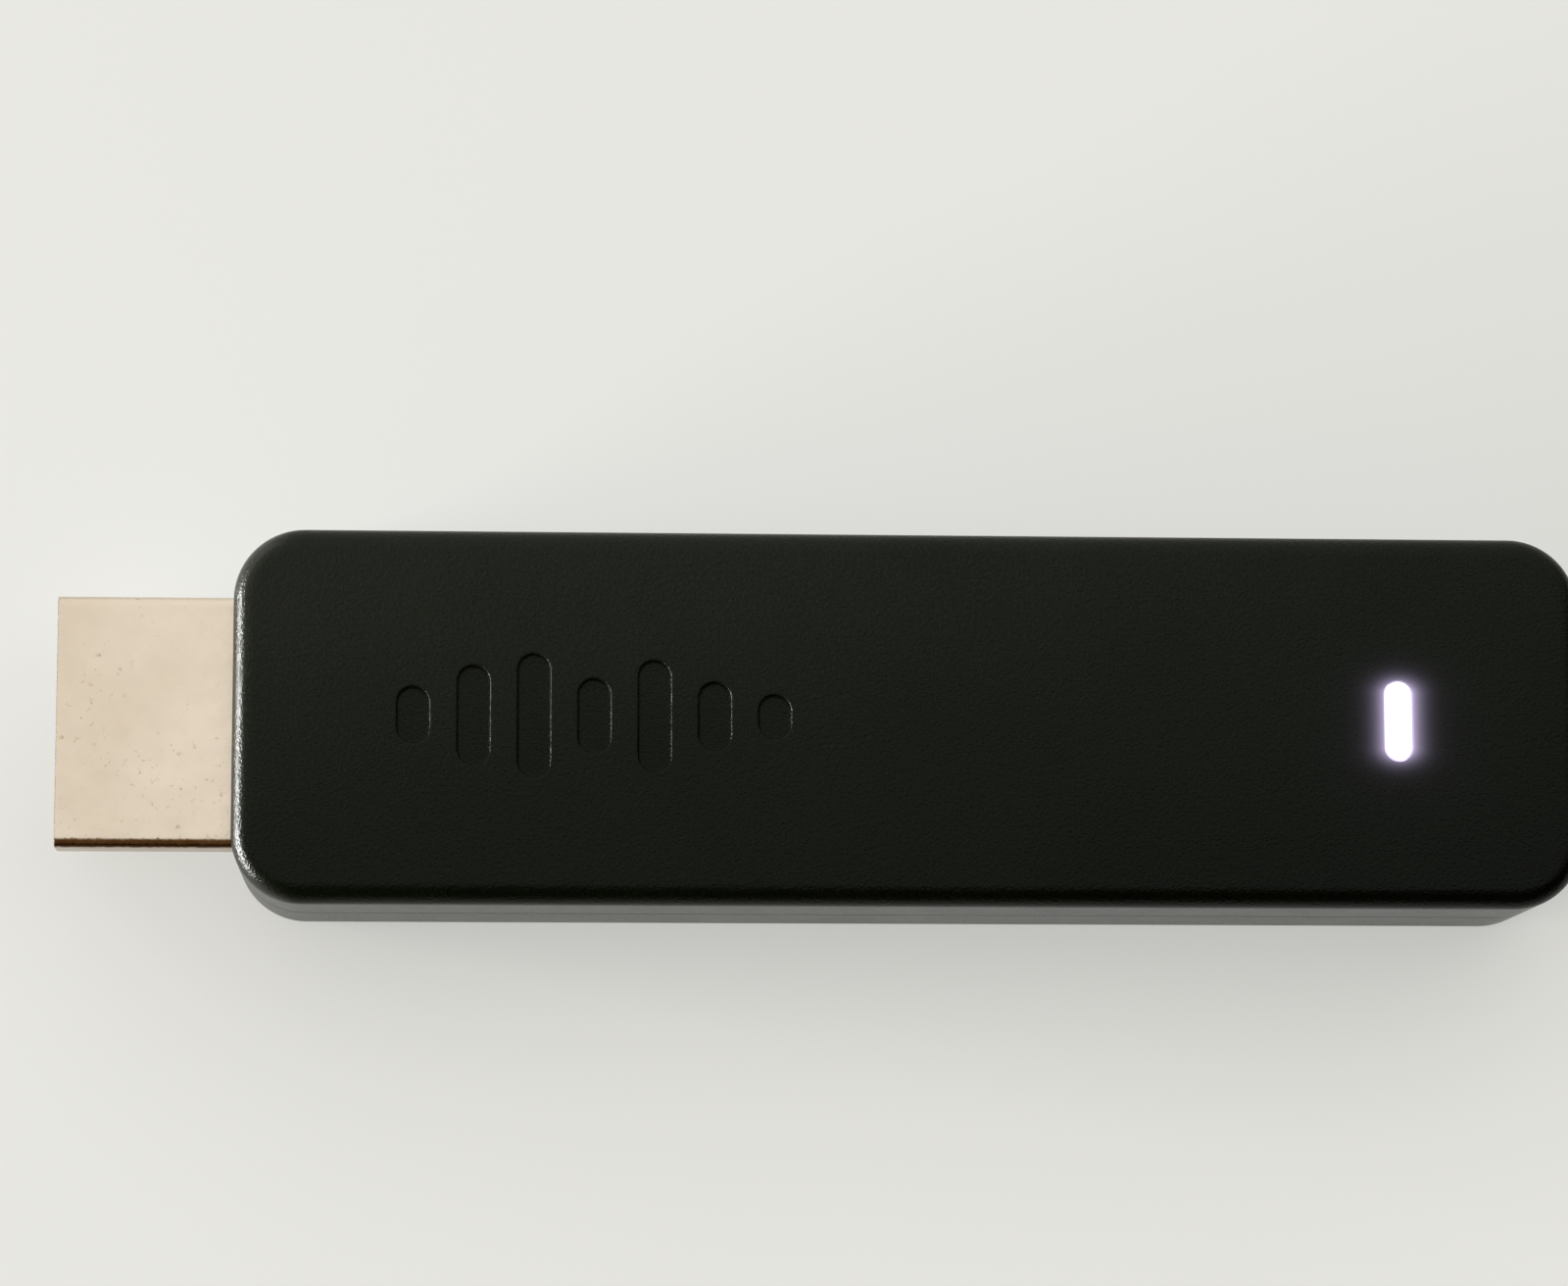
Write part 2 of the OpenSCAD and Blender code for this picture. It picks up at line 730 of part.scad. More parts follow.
module processor_chip() color([0.1, 0.12, 0.11]) {
    cap_l = processor_l - 2 * processor_cap_in;
    on_board() {
        stand(processor_x, 0, 0, processor_l, processor_l, processor_base_t);
        stand(processor_x, 0, 0, cap_l, cap_l, processor_base_t + processor_cap_t);
    }
}

module memory_chip() color([0.09, 0.09, 0.1]) {
    on_board() chip(memory_x, memory_l, memory_w, memory_h);
}

module flash_chip() color([0.09, 0.09, 0.1]) {
    under_board() chip(flash_x, flash_l, flash_w, flash_h);
}

module wireless_chip() color([0.09, 0.09, 0.1]) {
    on_board() chip(wireless_x, wireless_l, wireless_l, wireless_h);
}

module power_chip() color([0.09, 0.09, 0.1]) {
    under_board() chip(power_x, power_l, power_l, power_h);
}

module power_inductors() color([0.3, 0.3, 0.32]) {
    under_board()
        for (side = [-1, 1]) {
            stand(inductor_x, side * inductor_y, 0, inductor_l, inductor_l, inductor_h - inductor_cap_t);
            for (end = [-1, 1])
                stand(inductor_x + end * (inductor_l - inductor_cap_l) / 2, side * inductor_y, 0,
                    inductor_cap_l, inductor_l, inductor_h);
        }
}

module chip_capacitors() color([0.72, 0.6, 0.42]) {
    row_xs = [processor_x - processor_l / 2 - capacitor_gap - capacitor_l / 2,
        memory_x + memory_l / 2 + capacitor_gap + capacitor_l / 2];
    on_board()
        for (x = row_xs, y = row_places(capacitor_count, capacitor_pitch))
            stand(x, y, 0, capacitor_l, capacitor_w, capacitor_h);
}

module clock_crystal() color([0.78, 0.78, 0.8]) {
    on_board() {
        stand(crystal_x, 0, 0, crystal_l, crystal_w, crystal_h - crystal_lid_t);
        stand(crystal_x, 0, 0, crystal_l - 2 * crystal_lid_in, crystal_w - 2 * crystal_lid_in, crystal_h);
    }
}

module surge_arrays() color([0.12, 0.12, 0.13]) {
    on_board()
        for (y = row_places(surge_count, surge_w + surge_gap))
            stand(surge_x, y, 0, surge_l, surge_w, surge_h);
}

module status_led() color([0.95, 0.93, 0.85]) {
    on_board() stand(light_x, 0, 0, led_w, led_l, led_h);
}

// Walls of a shield, folded inwards along their tops
module shield_frame() {
    difference() {
        stand(shield_x, 0, 0, shield_l, shield_w, shield_h);
        stand(shield_x, 0, -cut, shield_l - 2 * sheet_t, shield_w - 2 * sheet_t, shield_h - sheet_t + cut);
        stand(shield_x, 0, -cut, shield_l - 2 * shield_flange, shield_w - 2 * shield_flange,
            shield_h + 2 * cut);
    }
}

// Lid of a shield, with skirts outside its walls and two rows of holes
module shield_cover() {
    difference() {
        stand(shield_x, 0, shield_h - shield_skirt, shield_l + 2 * (shield_gap + sheet_t),
            shield_w + 2 * (shield_gap + sheet_t), shield_skirt + sheet_t);
        stand(shield_x, 0, shield_h - shield_skirt - cut, shield_l + 2 * shield_gap,
            shield_w + 2 * shield_gap, shield_skirt + cut);
        for (x = row_places(hole_count, hole_pitch), side = [-1, 1])
            translate([shield_x + x, side * (shield_w / 2 - hole_in), shield_h - cut])
                cylinder(r = hole_r, h = sheet_t + 2 * cut, $fn = round_fn);
    }
}

module upper_shield_frame() color([0.74, 0.75, 0.76]) {
    on_board() shield_frame();
}

module upper_shield_cover() color([0.78, 0.79, 0.8]) {
    on_board() shield_cover();
}

module lower_shield_frame() color([0.74, 0.75, 0.76]) {
    under_board() shield_frame();
}

module lower_shield_cover() color([0.78, 0.79, 0.8]) {
    under_board() shield_cover();
}

module processor_pad() color([0.45, 0.5, 0.62]) {
    pad_l = processor_l - 2 * processor_cap_in;
    pad_z = processor_base_t + processor_cap_t;
    on_board() stand(processor_x, 0, pad_z, pad_l, pad_l, shield_h - pad_z);
}

// Soft pad between a shield's lid and a heat spreader
module thermal_pad(z0, z1) {
    stand(shield_x, 0, z0, shield_l - 2 * pad_in, shield_w - 2 * pad_in, z1 - z0);
}

module upper_thermal_pad() color([0.45, 0.5, 0.62]) {
    thermal_pad(upper_cover_z, upper_spreader_z);
}

module lower_thermal_pad() color([0.45, 0.5, 0.62]) {
    thermal_pad(lower_spreader_z + spreader_t, lower_cover_z);
}

// Metal plate that spreads heat, with a hole for each of its two pegs
module heat_spreader(z) {
    difference() {
        stand(shield_x, 0, z, shield_l - 2 * spreader_in_x, shield_w - 2 * spreader_in_y, spreader_t);
        at_pegs(peg_r + peg_gap, z - cut, z + spreader_t + cut);
    }
}

module upper_heat_spreader() color([0.7, 0.71, 0.72]) {
    heat_spreader(upper_spreader_z);
}

module lower_heat_spreader() color([0.7, 0.71, 0.72]) {
    heat_spreader(lower_spreader_z);
}

module socket_shell() color([0.76, 0.76, 0.77]) {
    difference() {
        union() {
            socket_prism(0, socket_x0, socket_x1);
            for (x = [socket_x0 + socket_tab_l / 2, socket_x1 - 2 * socket_tab_l], side = [-1, 1])
                stand(x, side * (socket_w - socket_t + socket_tab_w) / 2, board_top, socket_tab_l,
                    socket_t + socket_tab_w, socket_t);
        }
        socket_prism(socket_t, socket_x0 - cut, socket_x1 + cut);
    }
}

// Underside of the socket's tongue
tongue_z = split_z + tongue_raise - tongue_h / 2;

module socket_insulator() color([0.07, 0.07, 0.07]) {
    difference() {
        union() {
            socket_prism(socket_t + insulator_gap, socket_x0, socket_x0 + socket_back_l);
            block([socket_x0, -tongue_w / 2, tongue_z],
                [socket_x1 - tongue_setback, tongue_w / 2, tongue_z + tongue_h]);
        }
        for (y = row_places(pin_count, pin_pitch))
            block([socket_x0 - cut, y - pin_w / 2 - contact_gap, tongue_z - pin_t - contact_gap],
                [socket_x0 + socket_back_l + cut, y + pin_w / 2 + contact_gap, tongue_z]);
    }
}

module socket_contacts() color([0.85, 0.68, 0.3]) {
    rear_x = socket_x0 - pin_reach;
    for (y = row_places(pin_count, pin_pitch))
        translate([0, y - pin_w / 2, 0]) {
            block([rear_x, 0, tongue_z - pin_t], [socket_x1 - tongue_setback - pin_t, pin_w, tongue_z]);
            block([rear_x, 0, tongue_z - pin_t], [rear_x + pin_t, pin_w, board_top + pin_t]);
            block([rear_x - pin_tail_l, 0, board_top], [rear_x + pin_t, pin_w, board_top + pin_t]);
        }
}

// Stamped antenna in the board's rear corner: a slotted plate on three legs
module antenna() {
    x1 = board_x1 - antenna_in_x;
    x0 = x1 - antenna_l;
    top_z = board_top + antenna_h;
    difference() {
        block([x0, antenna_y0, top_z - sheet_t], [x1, antenna_y1, top_z]);
        block([x0 + antenna_leg_w, (antenna_y0 + antenna_y1 - antenna_slot_w) / 2, top_z - sheet_t - cut],
            [x1 + cut, (antenna_y0 + antenna_y1 + antenna_slot_w) / 2, top_z + cut]);
    }
    for (y = [antenna_y0, antenna_y1 - antenna_leg_w])
        block([x0, y, board_top], [x0 + sheet_t, y + antenna_leg_w, top_z]);
    block([x1 - sheet_t, antenna_y0, board_top], [x1, antenna_y0 + antenna_leg_w, top_z]);
}

module rear_antenna() color([0.8, 0.74, 0.55]) {
    antenna();
}

module front_antenna() color([0.8, 0.74, 0.55]) {
    mirror([0, 1, 0]) antenna();
}

upper_housing();
lower_housing();
light_pipe();
light_gasket();
reset_button();
reset_switch_body();
reset_switch_plunger();
reset_switch_dome();
reset_switch_cover();
plug_shell();
plug_insulator();
plug_upper_contacts();
plug_lower_contacts();
circuit_board();
processor_chip();
memory_chip();
flash_chip();
wireless_chip();
power_chip();
power_inductors();
chip_capacitors();
clock_crystal();
surge_arrays();
status_led();
upper_shield_frame();
upper_shield_cover();
lower_shield_frame();
lower_shield_cover();
processor_pad();
upper_thermal_pad();
upper_heat_spreader();
lower_thermal_pad();
lower_heat_spreader();
socket_shell();
socket_insulator();
socket_contacts();
front_antenna();
rear_antenna();
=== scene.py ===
# %% [markdown]
# This is a streaming media stick: a flat black case of two moulded shells, a nickel plug at its
# left end and a lit window in its roof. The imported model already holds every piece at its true
# size and place, with knife-sharp edges and flat colours. A real moulding has neither, so this
# scene gives the pieces that show their soft edges, and every piece its finish. Shapes are worked
# out in millimetres, and MM turns them into Blender's metres.

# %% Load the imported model
import json

import bmesh
import bpy
import numpy as np
from mathutils import Matrix, Vector
from mathutils.geometry import delaunay_2d_cdt


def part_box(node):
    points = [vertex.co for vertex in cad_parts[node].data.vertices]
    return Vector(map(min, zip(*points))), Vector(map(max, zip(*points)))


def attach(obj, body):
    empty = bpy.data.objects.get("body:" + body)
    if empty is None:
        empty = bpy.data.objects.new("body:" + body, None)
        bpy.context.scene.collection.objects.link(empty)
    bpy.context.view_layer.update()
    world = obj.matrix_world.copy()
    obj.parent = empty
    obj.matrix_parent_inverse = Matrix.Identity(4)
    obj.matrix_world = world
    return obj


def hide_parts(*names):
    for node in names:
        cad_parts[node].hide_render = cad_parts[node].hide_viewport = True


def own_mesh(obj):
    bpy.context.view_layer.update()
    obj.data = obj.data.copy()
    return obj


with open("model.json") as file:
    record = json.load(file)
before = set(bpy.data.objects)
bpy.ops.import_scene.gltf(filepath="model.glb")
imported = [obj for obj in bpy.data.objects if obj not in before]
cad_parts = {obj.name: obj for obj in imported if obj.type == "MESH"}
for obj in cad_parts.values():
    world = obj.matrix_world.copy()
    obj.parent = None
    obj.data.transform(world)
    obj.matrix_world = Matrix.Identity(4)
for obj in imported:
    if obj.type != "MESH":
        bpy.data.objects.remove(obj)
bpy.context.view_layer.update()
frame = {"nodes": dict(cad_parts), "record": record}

MM = 0.001
print("pieces in the frame:", len(frame["nodes"]))

# %% [markdown]
# The camera comes first, because it decides what is worth modelling. The photograph was taken from
# almost straight above, with the camera turned a little to its left. Its place and angles were
# found by fitting the outlines of the case and the plug, whose real sizes are known. Three angles
# are easier to fit and to read than a matrix, so the matrix is worked out from them.

# %% Camera
PHOTO_W = 1600
SENSOR_W = 36.0
FOCAL_PIXELS = 5178.62
CAMERA_AT = (-19.549, -36.193, 285.941)
AZIMUTH, ELEVATION, ROLL = np.radians([-23.298, 80.909, 23.467])
CLIP_START = 10


def camera_axes(azimuth, elevation, roll):
    """Right, up and backward directions of a camera, as rows.

    Forward is the unit vector down the line of sight, right is level with the floor, and both right
    and up then turn by the roll about forward."""
    level_part = np.cos(elevation)
    forward = np.array([-np.sin(azimuth) * level_part, np.cos(azimuth) * level_part, -np.sin(elevation)])
    level = np.cross(forward, [0, 0, 1])
    level /= np.linalg.norm(level)
    up = np.cross(level, forward)
    right = level * np.cos(roll) + up * np.sin(roll)
    return right, np.cross(right, forward), -forward


camera_data = bpy.data.cameras.new("camera")
camera_data.sensor_width = SENSOR_W
camera_data.lens = FOCAL_PIXELS * SENSOR_W / PHOTO_W
camera_data.clip_start = CLIP_START * MM
camera = bpy.data.objects.new("camera", camera_data)
pose = np.eye(4)
pose[:3, :3] = np.stack(camera_axes(AZIMUTH, ELEVATION, ROLL), axis=1)
pose[:3, 3] = np.array(CAMERA_AT) * MM
camera.matrix_world = Matrix(pose.tolist())
bpy.context.scene.collection.objects.link(camera)
bpy.context.scene.camera = camera
print("lens in mm:", round(camera_data.lens, 1))

# %% [markdown]
# A moulded plastic or pressed metal part is mostly sweeps: a small profile carried round an
# outline. The outline here is always a disc rolled round a polygon, which covers a case with round
# corners, a pill-shaped window and the plug's tapered mouth alike. Each function returns whole
# arrays of points, so a change of radius or step count changes the piece everywhere at once.

# %% Outlines
ARC_STEP = np.radians(5)
SUPPORT = 0.25


def rolled_outline(centres, radius):
    """Outline of a disc rolled round a polygon of centres, anticlockwise, and its outward normals.

    At each centre the points are centre + radius * (cos a, sin a), while a runs from the normal of
    the edge before to the normal of the edge after. Long straight edges get one more point a
    SUPPORT away from each end, which keeps their shading flat."""
    centres = np.asarray(centres, float)
    along = np.roll(centres, -1, axis=0) - centres
    length = np.linalg.norm(along, axis=1)
    along /= length[:, None]
    normal = np.stack([along[:, 1], -along[:, 0]], axis=1)
    angle = np.arctan2(normal[:, 1], normal[:, 0])
    points, normals = [], []
    for i, centre in enumerate(centres):
        turn = (angle[i] - angle[i - 1]) % (2 * np.pi)
        a = angle[i - 1] + np.linspace(0, turn, int(np.ceil(turn / ARC_STEP)) + 1)
        arc = np.stack([np.cos(a), np.sin(a)], axis=1)
        points.append(centre + radius * arc)
        normals.append(arc)
        if length[i] > 3 * SUPPORT:
            steps = np.array([[SUPPORT], [length[i] - SUPPORT]])
            points.append(centre + radius * normal[i] + steps * along[i])
            normals.append(np.repeat(normal[i][None], 2, axis=0))
    return np.concatenate(points), np.concatenate(normals)


def rectangle_outline(middle, length, width, radius):
    """Rectangle with round corners about a middle point."""
    x, y = length / 2 - radius, width / 2 - radius
    return rolled_outline(np.array([[x, -y], [x, y], [-x, y], [-x, -y]]) + middle, radius)


def pill_outline(middle, length, width, upright=True):
    """Slot with round ends about a middle point, its long way along the second axis when upright."""
    reach = (length - width) / 2
    step = np.array([0, reach]) if upright else np.array([reach, 0])
    return rolled_outline([middle - step, middle + step], width / 2)


print("outlines have a point every", round(np.degrees(ARC_STEP)), "degrees of turn")


# %% Profiles and sweeps
def arc(centre, radius, first, last, steps=6):
    """Arc of a profile: centre + radius * (cos a, sin a), a from first to last in degrees."""
    a = np.radians(np.linspace(first, last, steps + 1))
    return np.asarray(centre) + radius * np.stack([np.cos(a), np.sin(a)], axis=1)


def profile(*stretches):
    """Joins single (out, up) points and arcs into one profile."""
    return np.concatenate([np.atleast_2d(np.asarray(s, float)) for s in stretches])


def sweep(outline, section, axes=(0, 1, 2)):
    """Grid of points, one row for each point of the section: outline + out * normal, at height up.

    The grid is drawn lying flat, and axes says which of its coordinates become X, Y and Z."""
    points, normals = outline
    flat = points[None] + section[:, 0, None, None] * normals[None]
    up = np.broadcast_to(section[:, 1, None, None], flat.shape[:2] + (1,))
    return np.concatenate([flat, up], axis=2)[..., list(axes)]


print("a quarter round has", len(arc((0, 0), 1, 0, 90)), "points in a profile")

# %% [markdown]
# A flat roof with sunk bars has no simple grid. It could be cut with booleans, but their long thin
# faces spoil the shading next to every cut. Instead each bar is its own little sweep, and the flat
# that is left between all the loops is filled with triangles that use exactly the loops' points.
# Each sweep meets the flat with a row that already lies in it, so no rounding tilts its normals.

# %% Closed meshes
WELD = 1e-4


def welded(mesh):
    """Merges the points that lie on each other and turns the faces outwards."""
    work = bmesh.new()
    work.from_mesh(mesh)
    bmesh.ops.remove_doubles(work, verts=work.verts, dist=WELD * MM)
    bmesh.ops.delete(work, geom=[v for v in work.verts if not v.link_faces], context="VERTS")
    bmesh.ops.recalc_face_normals(work, faces=work.faces)
    work.to_mesh(mesh)
    work.free()
    return mesh


def open_edges(mesh):
    """Number of edges that don't join exactly two faces, which is nought on a closed mesh."""
    work = bmesh.new()
    work.from_mesh(mesh)
    count = sum(len(edge.link_faces) != 2 for edge in work.edges)
    work.free()
    return count


def inside(points, loop):
    """True for points inside a loop: a ray along the first axis crosses it an odd number of times."""
    ax, ay = loop.T
    bx, by = np.roll(loop, -1, axis=0).T
    x, y = points[:, :1], points[:, 1:]
    spans = (ay > y) != (by > y)
    rise = np.where(by == ay, 1, by - ay)
    crossing = ax + (y - ay) * (bx - ax) / rise
    return (spans & (x < crossing)).sum(axis=1) % 2 == 1


print("points nearer than", WELD, "mm are welded")

# %% Skins: surfaces that become one closed mesh
SAME_POINT = 1e-7


class Skin:
    """Surfaces of one piece, in millimetres, each with the number of its material slot."""

    def __init__(self):
        self.points, self.faces, self.slots, self.count = [], [], [], 0

    def add(self, points, faces, slot=0):
        """Takes in faces with equally many corners, and one slot for all of them or a row of slots."""
        points = np.asarray(points).reshape(-1, 3)
        self.points.append(points)
        self.faces += (np.asarray(faces) + self.count).tolist()
        self.slots += np.broadcast_to(slot, len(faces)).tolist()
        self.count += len(points)

    def grid(self, points, slot=0):
        """Quads of a grid that closes on itself along its rows, with one slot or a grid of slots."""
        rows, columns = points.shape[:2]
        i, j = np.meshgrid(np.arange(rows - 1), np.arange(columns), indexing="ij")
        row, next_row = i * columns, (i + 1) * columns
        k = (j + 1) % columns
        quads = np.stack([row + j, row + k, next_row + k, next_row + j], axis=-1)
        self.add(points, quads.reshape(-1, 4), np.broadcast_to(slot, (rows - 1, columns)).ravel())

    def cap(self, ring):
        """One flat face with the ring as its edge."""
        self.add(ring, [np.arange(len(ring))])

    def capped(self, points):
        """A grid with its first and last row as caps."""
        self.grid(points)
        self.cap(points[0])
        self.cap(points[-1])

    def fill(self, rim, holes, up):
        """Triangles of a level flat, inside its rim and outside its holes."""
        loops = [rim, *holes]
        ends = np.cumsum([len(loop) for loop in loops])
        rows = [np.arange(end - len(loop), end) for loop, end in zip(loops, ends)]
        edges = np.concatenate([np.stack([row, np.roll(row, -1)], axis=1) for row in rows])
        found = delaunay_2d_cdt(np.concatenate(loops).tolist(), edges.tolist(), [], 0, SAME_POINT)
        flat, faces = np.array(found[0]), np.array(found[2])
        middle = flat[faces].mean(axis=1)
        kept = inside(middle, rim)
        for hole in holes:
            kept &= ~inside(middle, hole)
        self.add(np.column_stack([flat, np.full(len(flat), up)]), faces[kept])

    def mesh(self, name):
        """One welded mesh in metres, with all its faces turned outwards."""
        mesh = bpy.data.meshes.new(name)
        mesh.from_pydata((np.concatenate(self.points) * MM).tolist(), [], self.faces)
        mesh.polygons.foreach_set("material_index", self.slots)
        return welded(mesh)


def box_of(*nodes):
    """Lowest and highest corner of some frame pieces together, in millimetres."""
    corners = np.array([[list(corner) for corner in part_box(node)] for node in nodes]) / MM
    return corners[:, 0].min(axis=0), corners[:, 1].max(axis=0)


shell_low, shell_high = box_of("upper_housing", "lower_housing")
print("the case measures", (shell_high - shell_low).round(2))

# %% [markdown]
# The frame's shells are right inside: lips, ribs, posts and openings are all there. Only their
# outsides need softer edges. They could be modelled again from nothing, but it is quicker and
# truer to trim them, as a toolmaker polishes a mould: a soft form a hair smaller than the shell is
# swept, and a boolean keeps what lies inside both. The outside then comes from the form and the
# inside from the frame.

# %% Trimming a frame piece with a soft form
def new_object(name, mesh):
    """A mesh as an object at the origin, in the scene."""
    piece = bpy.data.objects.new(name, mesh)
    bpy.context.scene.collection.objects.link(piece)
    return piece


def plain_copy(node):
    """A welded copy of a frame piece's mesh, with none of its stored normals."""
    source = frame["nodes"][node].data
    mesh = bpy.data.meshes.new(node + "_copy")
    points = np.empty(len(source.vertices) * 3)
    source.vertices.foreach_get("co", points)
    faces = np.empty(len(source.loops), int)
    source.loops.foreach_get("vertex_index", faces)
    mesh.from_pydata(points.reshape(-1, 3).tolist(), [], faces.reshape(-1, 3).tolist())
    return welded(mesh)


def apply_modifiers(piece):
    """Puts the mesh that a piece's modifiers make in the place of the mesh they started from."""
    bpy.context.view_layer.update()
    shaped = piece.evaluated_get(bpy.context.evaluated_depsgraph_get())
    mesh = bpy.data.meshes.new_from_object(shaped)
    piece.modifiers.clear()
    piece.data = mesh
    mesh.name = piece.name


def combined(name, mesh, tools):
    """A mesh after booleans with other meshes, one after another, as an object."""
    piece = new_object(name, mesh)
    helpers = [new_object("tool", tool) for _, tool in tools]
    for (operation, _), helper in zip(tools, helpers):
        step = piece.modifiers.new(operation, "BOOLEAN")
        step.operation = operation
        step.object = helper
        step.solver = "EXACT"
        step.material_mode = "INDEX"
    apply_modifiers(piece)
    for helper in helpers:
        bpy.data.objects.remove(helper)
    return piece


print("faces of the frame's upper shell:", len(frame["nodes"]["upper_housing"].data.polygons))

# %% [markdown]
# A material here is the plain shader plus what a maker's finish adds to it: a colour that wanders
# a little, a grain that is only bump, and a roughness that is never quite even. All patterns read
# Object coordinates, so they stay put when a piece moves, and their sizes are given in millimetres.

# %% Material helpers
NOISE_MIDDLE = (0.3, 0.7)


class Finish:
    """A material whose shader values are set directly and whose patterns are added one by one."""

    def __init__(self, name, colour, roughness, metallic=0.0):
        self.material = bpy.data.materials.new(name)
        self.material.use_nodes = True
        self.nodes = self.material.node_tree.nodes
        self.links = self.material.node_tree.links
        self.shader = self.nodes["Principled BSDF"]
        self.set(Base_Color=colour, Roughness=roughness, Metallic=metallic)
        self.place = self.node("TexCoord")["Object"]
        self.bump = None

    def put(self, value, socket):
        """Links a socket to another one's output, or sets it to a number or an RGB colour."""
        if hasattr(value, "links"):
            self.links.new(value, socket)
        else:
            socket.default_value = (*value, 1) if socket.type == "RGBA" else value

    def set(self, node=None, **values):
        """Puts values into a node's sockets, the shader's by default, with _ for each space in a name."""
        for name, value in values.items():
            self.put(value, (node or self.shader).inputs[name.replace("_", " ")])

    def node(self, kind, **values):
        """Outputs of a new node, by name."""
        made = self.nodes.new("ShaderNode" + kind)
        self.set(made, **values)
        return made.outputs

    def noise(self, size, detail=3, stretch=(1, 1, 1)):
        """Noise whose blotches are about size millimetres across, longer where stretch is above 1."""
        scale = [1 / (size * MM * s) for s in stretch]
        place = self.node("Mapping", Vector=self.place, Scale=scale)["Vector"]
        return self.node("TexNoise", Vector=place, Scale=1, Detail=detail)["Fac"]

    def axes(self):
        """The three Object coordinates, in millimetres."""
        scaled = self.nodes.new("ShaderNodeVectorMath")
        scaled.operation = "SCALE"
        self.put(self.place, scaled.inputs[0])
        self.set(scaled, Scale=1 / MM)
        return self.node("SeparateXYZ", Vector=scaled.outputs["Vector"])

    def calc(self, kind, *values, clamp=False):
        """Output of one calculation on sockets or numbers."""
        step = self.nodes.new("ShaderNodeMath")
        step.operation = kind
        step.use_clamp = clamp
        for socket, value in zip(step.inputs, values):
            self.put(value, socket)
        return step.outputs["Value"]

    def beyond(self, value, start, soft):
        """Nought at the start and one from start + soft on, which lies below it if soft is negative."""
        return self.calc("MULTIPLY_ADD", value, 1 / soft, -start / soft, clamp=True)

    def ramp(self, factor, *stops):
        """Colour ramp over a factor, from (position, colour) stops."""
        ramp = self.nodes.new("ShaderNodeValToRGB")
        for _ in stops[2:]:
            ramp.color_ramp.elements.new(0.5)
        for element, (position, colour) in zip(ramp.color_ramp.elements, stops):
            element.position = position
            element.color = (*colour, 1)
        self.set(ramp, Fac=factor)
        return ramp.outputs["Color"]

    def blend(self, factor, under, over):
        """Colour socket that goes from under to over as the factor rises."""
        mix = self.nodes.new("ShaderNodeMix")
        mix.data_type = "RGBA"
        first, second = (socket for socket in mix.inputs if socket.type == "RGBA")
        self.put(factor, mix.inputs["Factor"])
        self.put(under, first)
        self.put(over, second)
        return next(socket for socket in mix.outputs if socket.type == "RGBA")

    def mottle(self, noise, dark, light):
        """Base colour from dark to light over the middle of a noise."""
        self.set(Base_Color=self.ramp(noise, (NOISE_MIDDLE[0], dark), (NOISE_MIDDLE[1], light)))

    def spread(self, noise, low, high):
        """Roughness from low to high over the middle of a noise."""
        first, last = NOISE_MIDDLE
        span = self.node("MapRange", Value=noise, From_Min=first, From_Max=last, To_Min=low, To_Max=high)
        self.set(Roughness=span["Result"])

    def grain(self, factor, depth, strength=1.0):
        """Adds a bump of the given depth in millimetres to those already there."""
        below = {"Normal": self.bump} if self.bump else {}
        bump = self.node("Bump", Height=factor, Distance=depth * MM, Strength=strength, **below)
        self.bump = bump["Normal"]
        self.set(Normal=self.bump)


print("patterns use a noise's middle,", NOISE_MIDDLE)

# %% [markdown]
# The lit window shines into the plastic round it, and a camera makes more of that than the eye
# does. A light in the scene would only reach the roof at a graze. Instead the plastic gives out a
# little light itself: two exponentials of the distance to the window's outline, a tight one for
# the bright rim and a wide faint one for the haze.

# %% The glow round the lit window
WINDOW_LENGTH, WINDOW_WIDTH = 4.4, 1.5
GLOW_TERMS = ((0.72, 0.34), (0.010, 1.8))
GLOW_SQUEEZE = 1.35
GLOW_COLOUR = (0.78, 0.66, 1.0)
window_low, window_high = box_of("light_pipe")
window_middle = (window_low + window_high)[:2] / 2


def past_window(finish, squeeze=1.0):
    """Distance in millimetres outside the window's outline, less than nought inside it.

    The window is a pill, so this is the distance from its middle line less half its width. A
    squeeze above 1 makes the distance grow faster past the pill's two ends."""
    x, y, _ = finish.axes()
    aside = finish.calc("SUBTRACT", x, window_middle[0])
    past = finish.calc("SUBTRACT", finish.calc("ABSOLUTE", y), (WINDOW_LENGTH - WINDOW_WIDTH) / 2)
    past = finish.calc("MULTIPLY", finish.calc("MAXIMUM", past, 0), squeeze)
    squares = finish.calc("ADD", finish.calc("MULTIPLY", aside, aside), finish.calc("MULTIPLY", past, past))
    return finish.calc("SUBTRACT", finish.calc("SQRT", squares), WINDOW_WIDTH / 2)


def glow_round_window(finish):
    """Light that leaks into the plastic: the sum of strength * e^(-d / reach) over the terms."""
    away = past_window(finish, GLOW_SQUEEZE)
    glow = 0.0
    for strength, reach in GLOW_TERMS:
        fade = finish.calc("POWER", np.e, finish.calc("MULTIPLY", away, -1 / reach))
        glow = finish.calc("MULTIPLY_ADD", fade, strength, glow)
    finish.set(Emission_Color=finish.blend(glow, (0, 0, 0), GLOW_COLOUR), Emission_Strength=1.0)


print("the window's middle is at", window_middle.round(3))
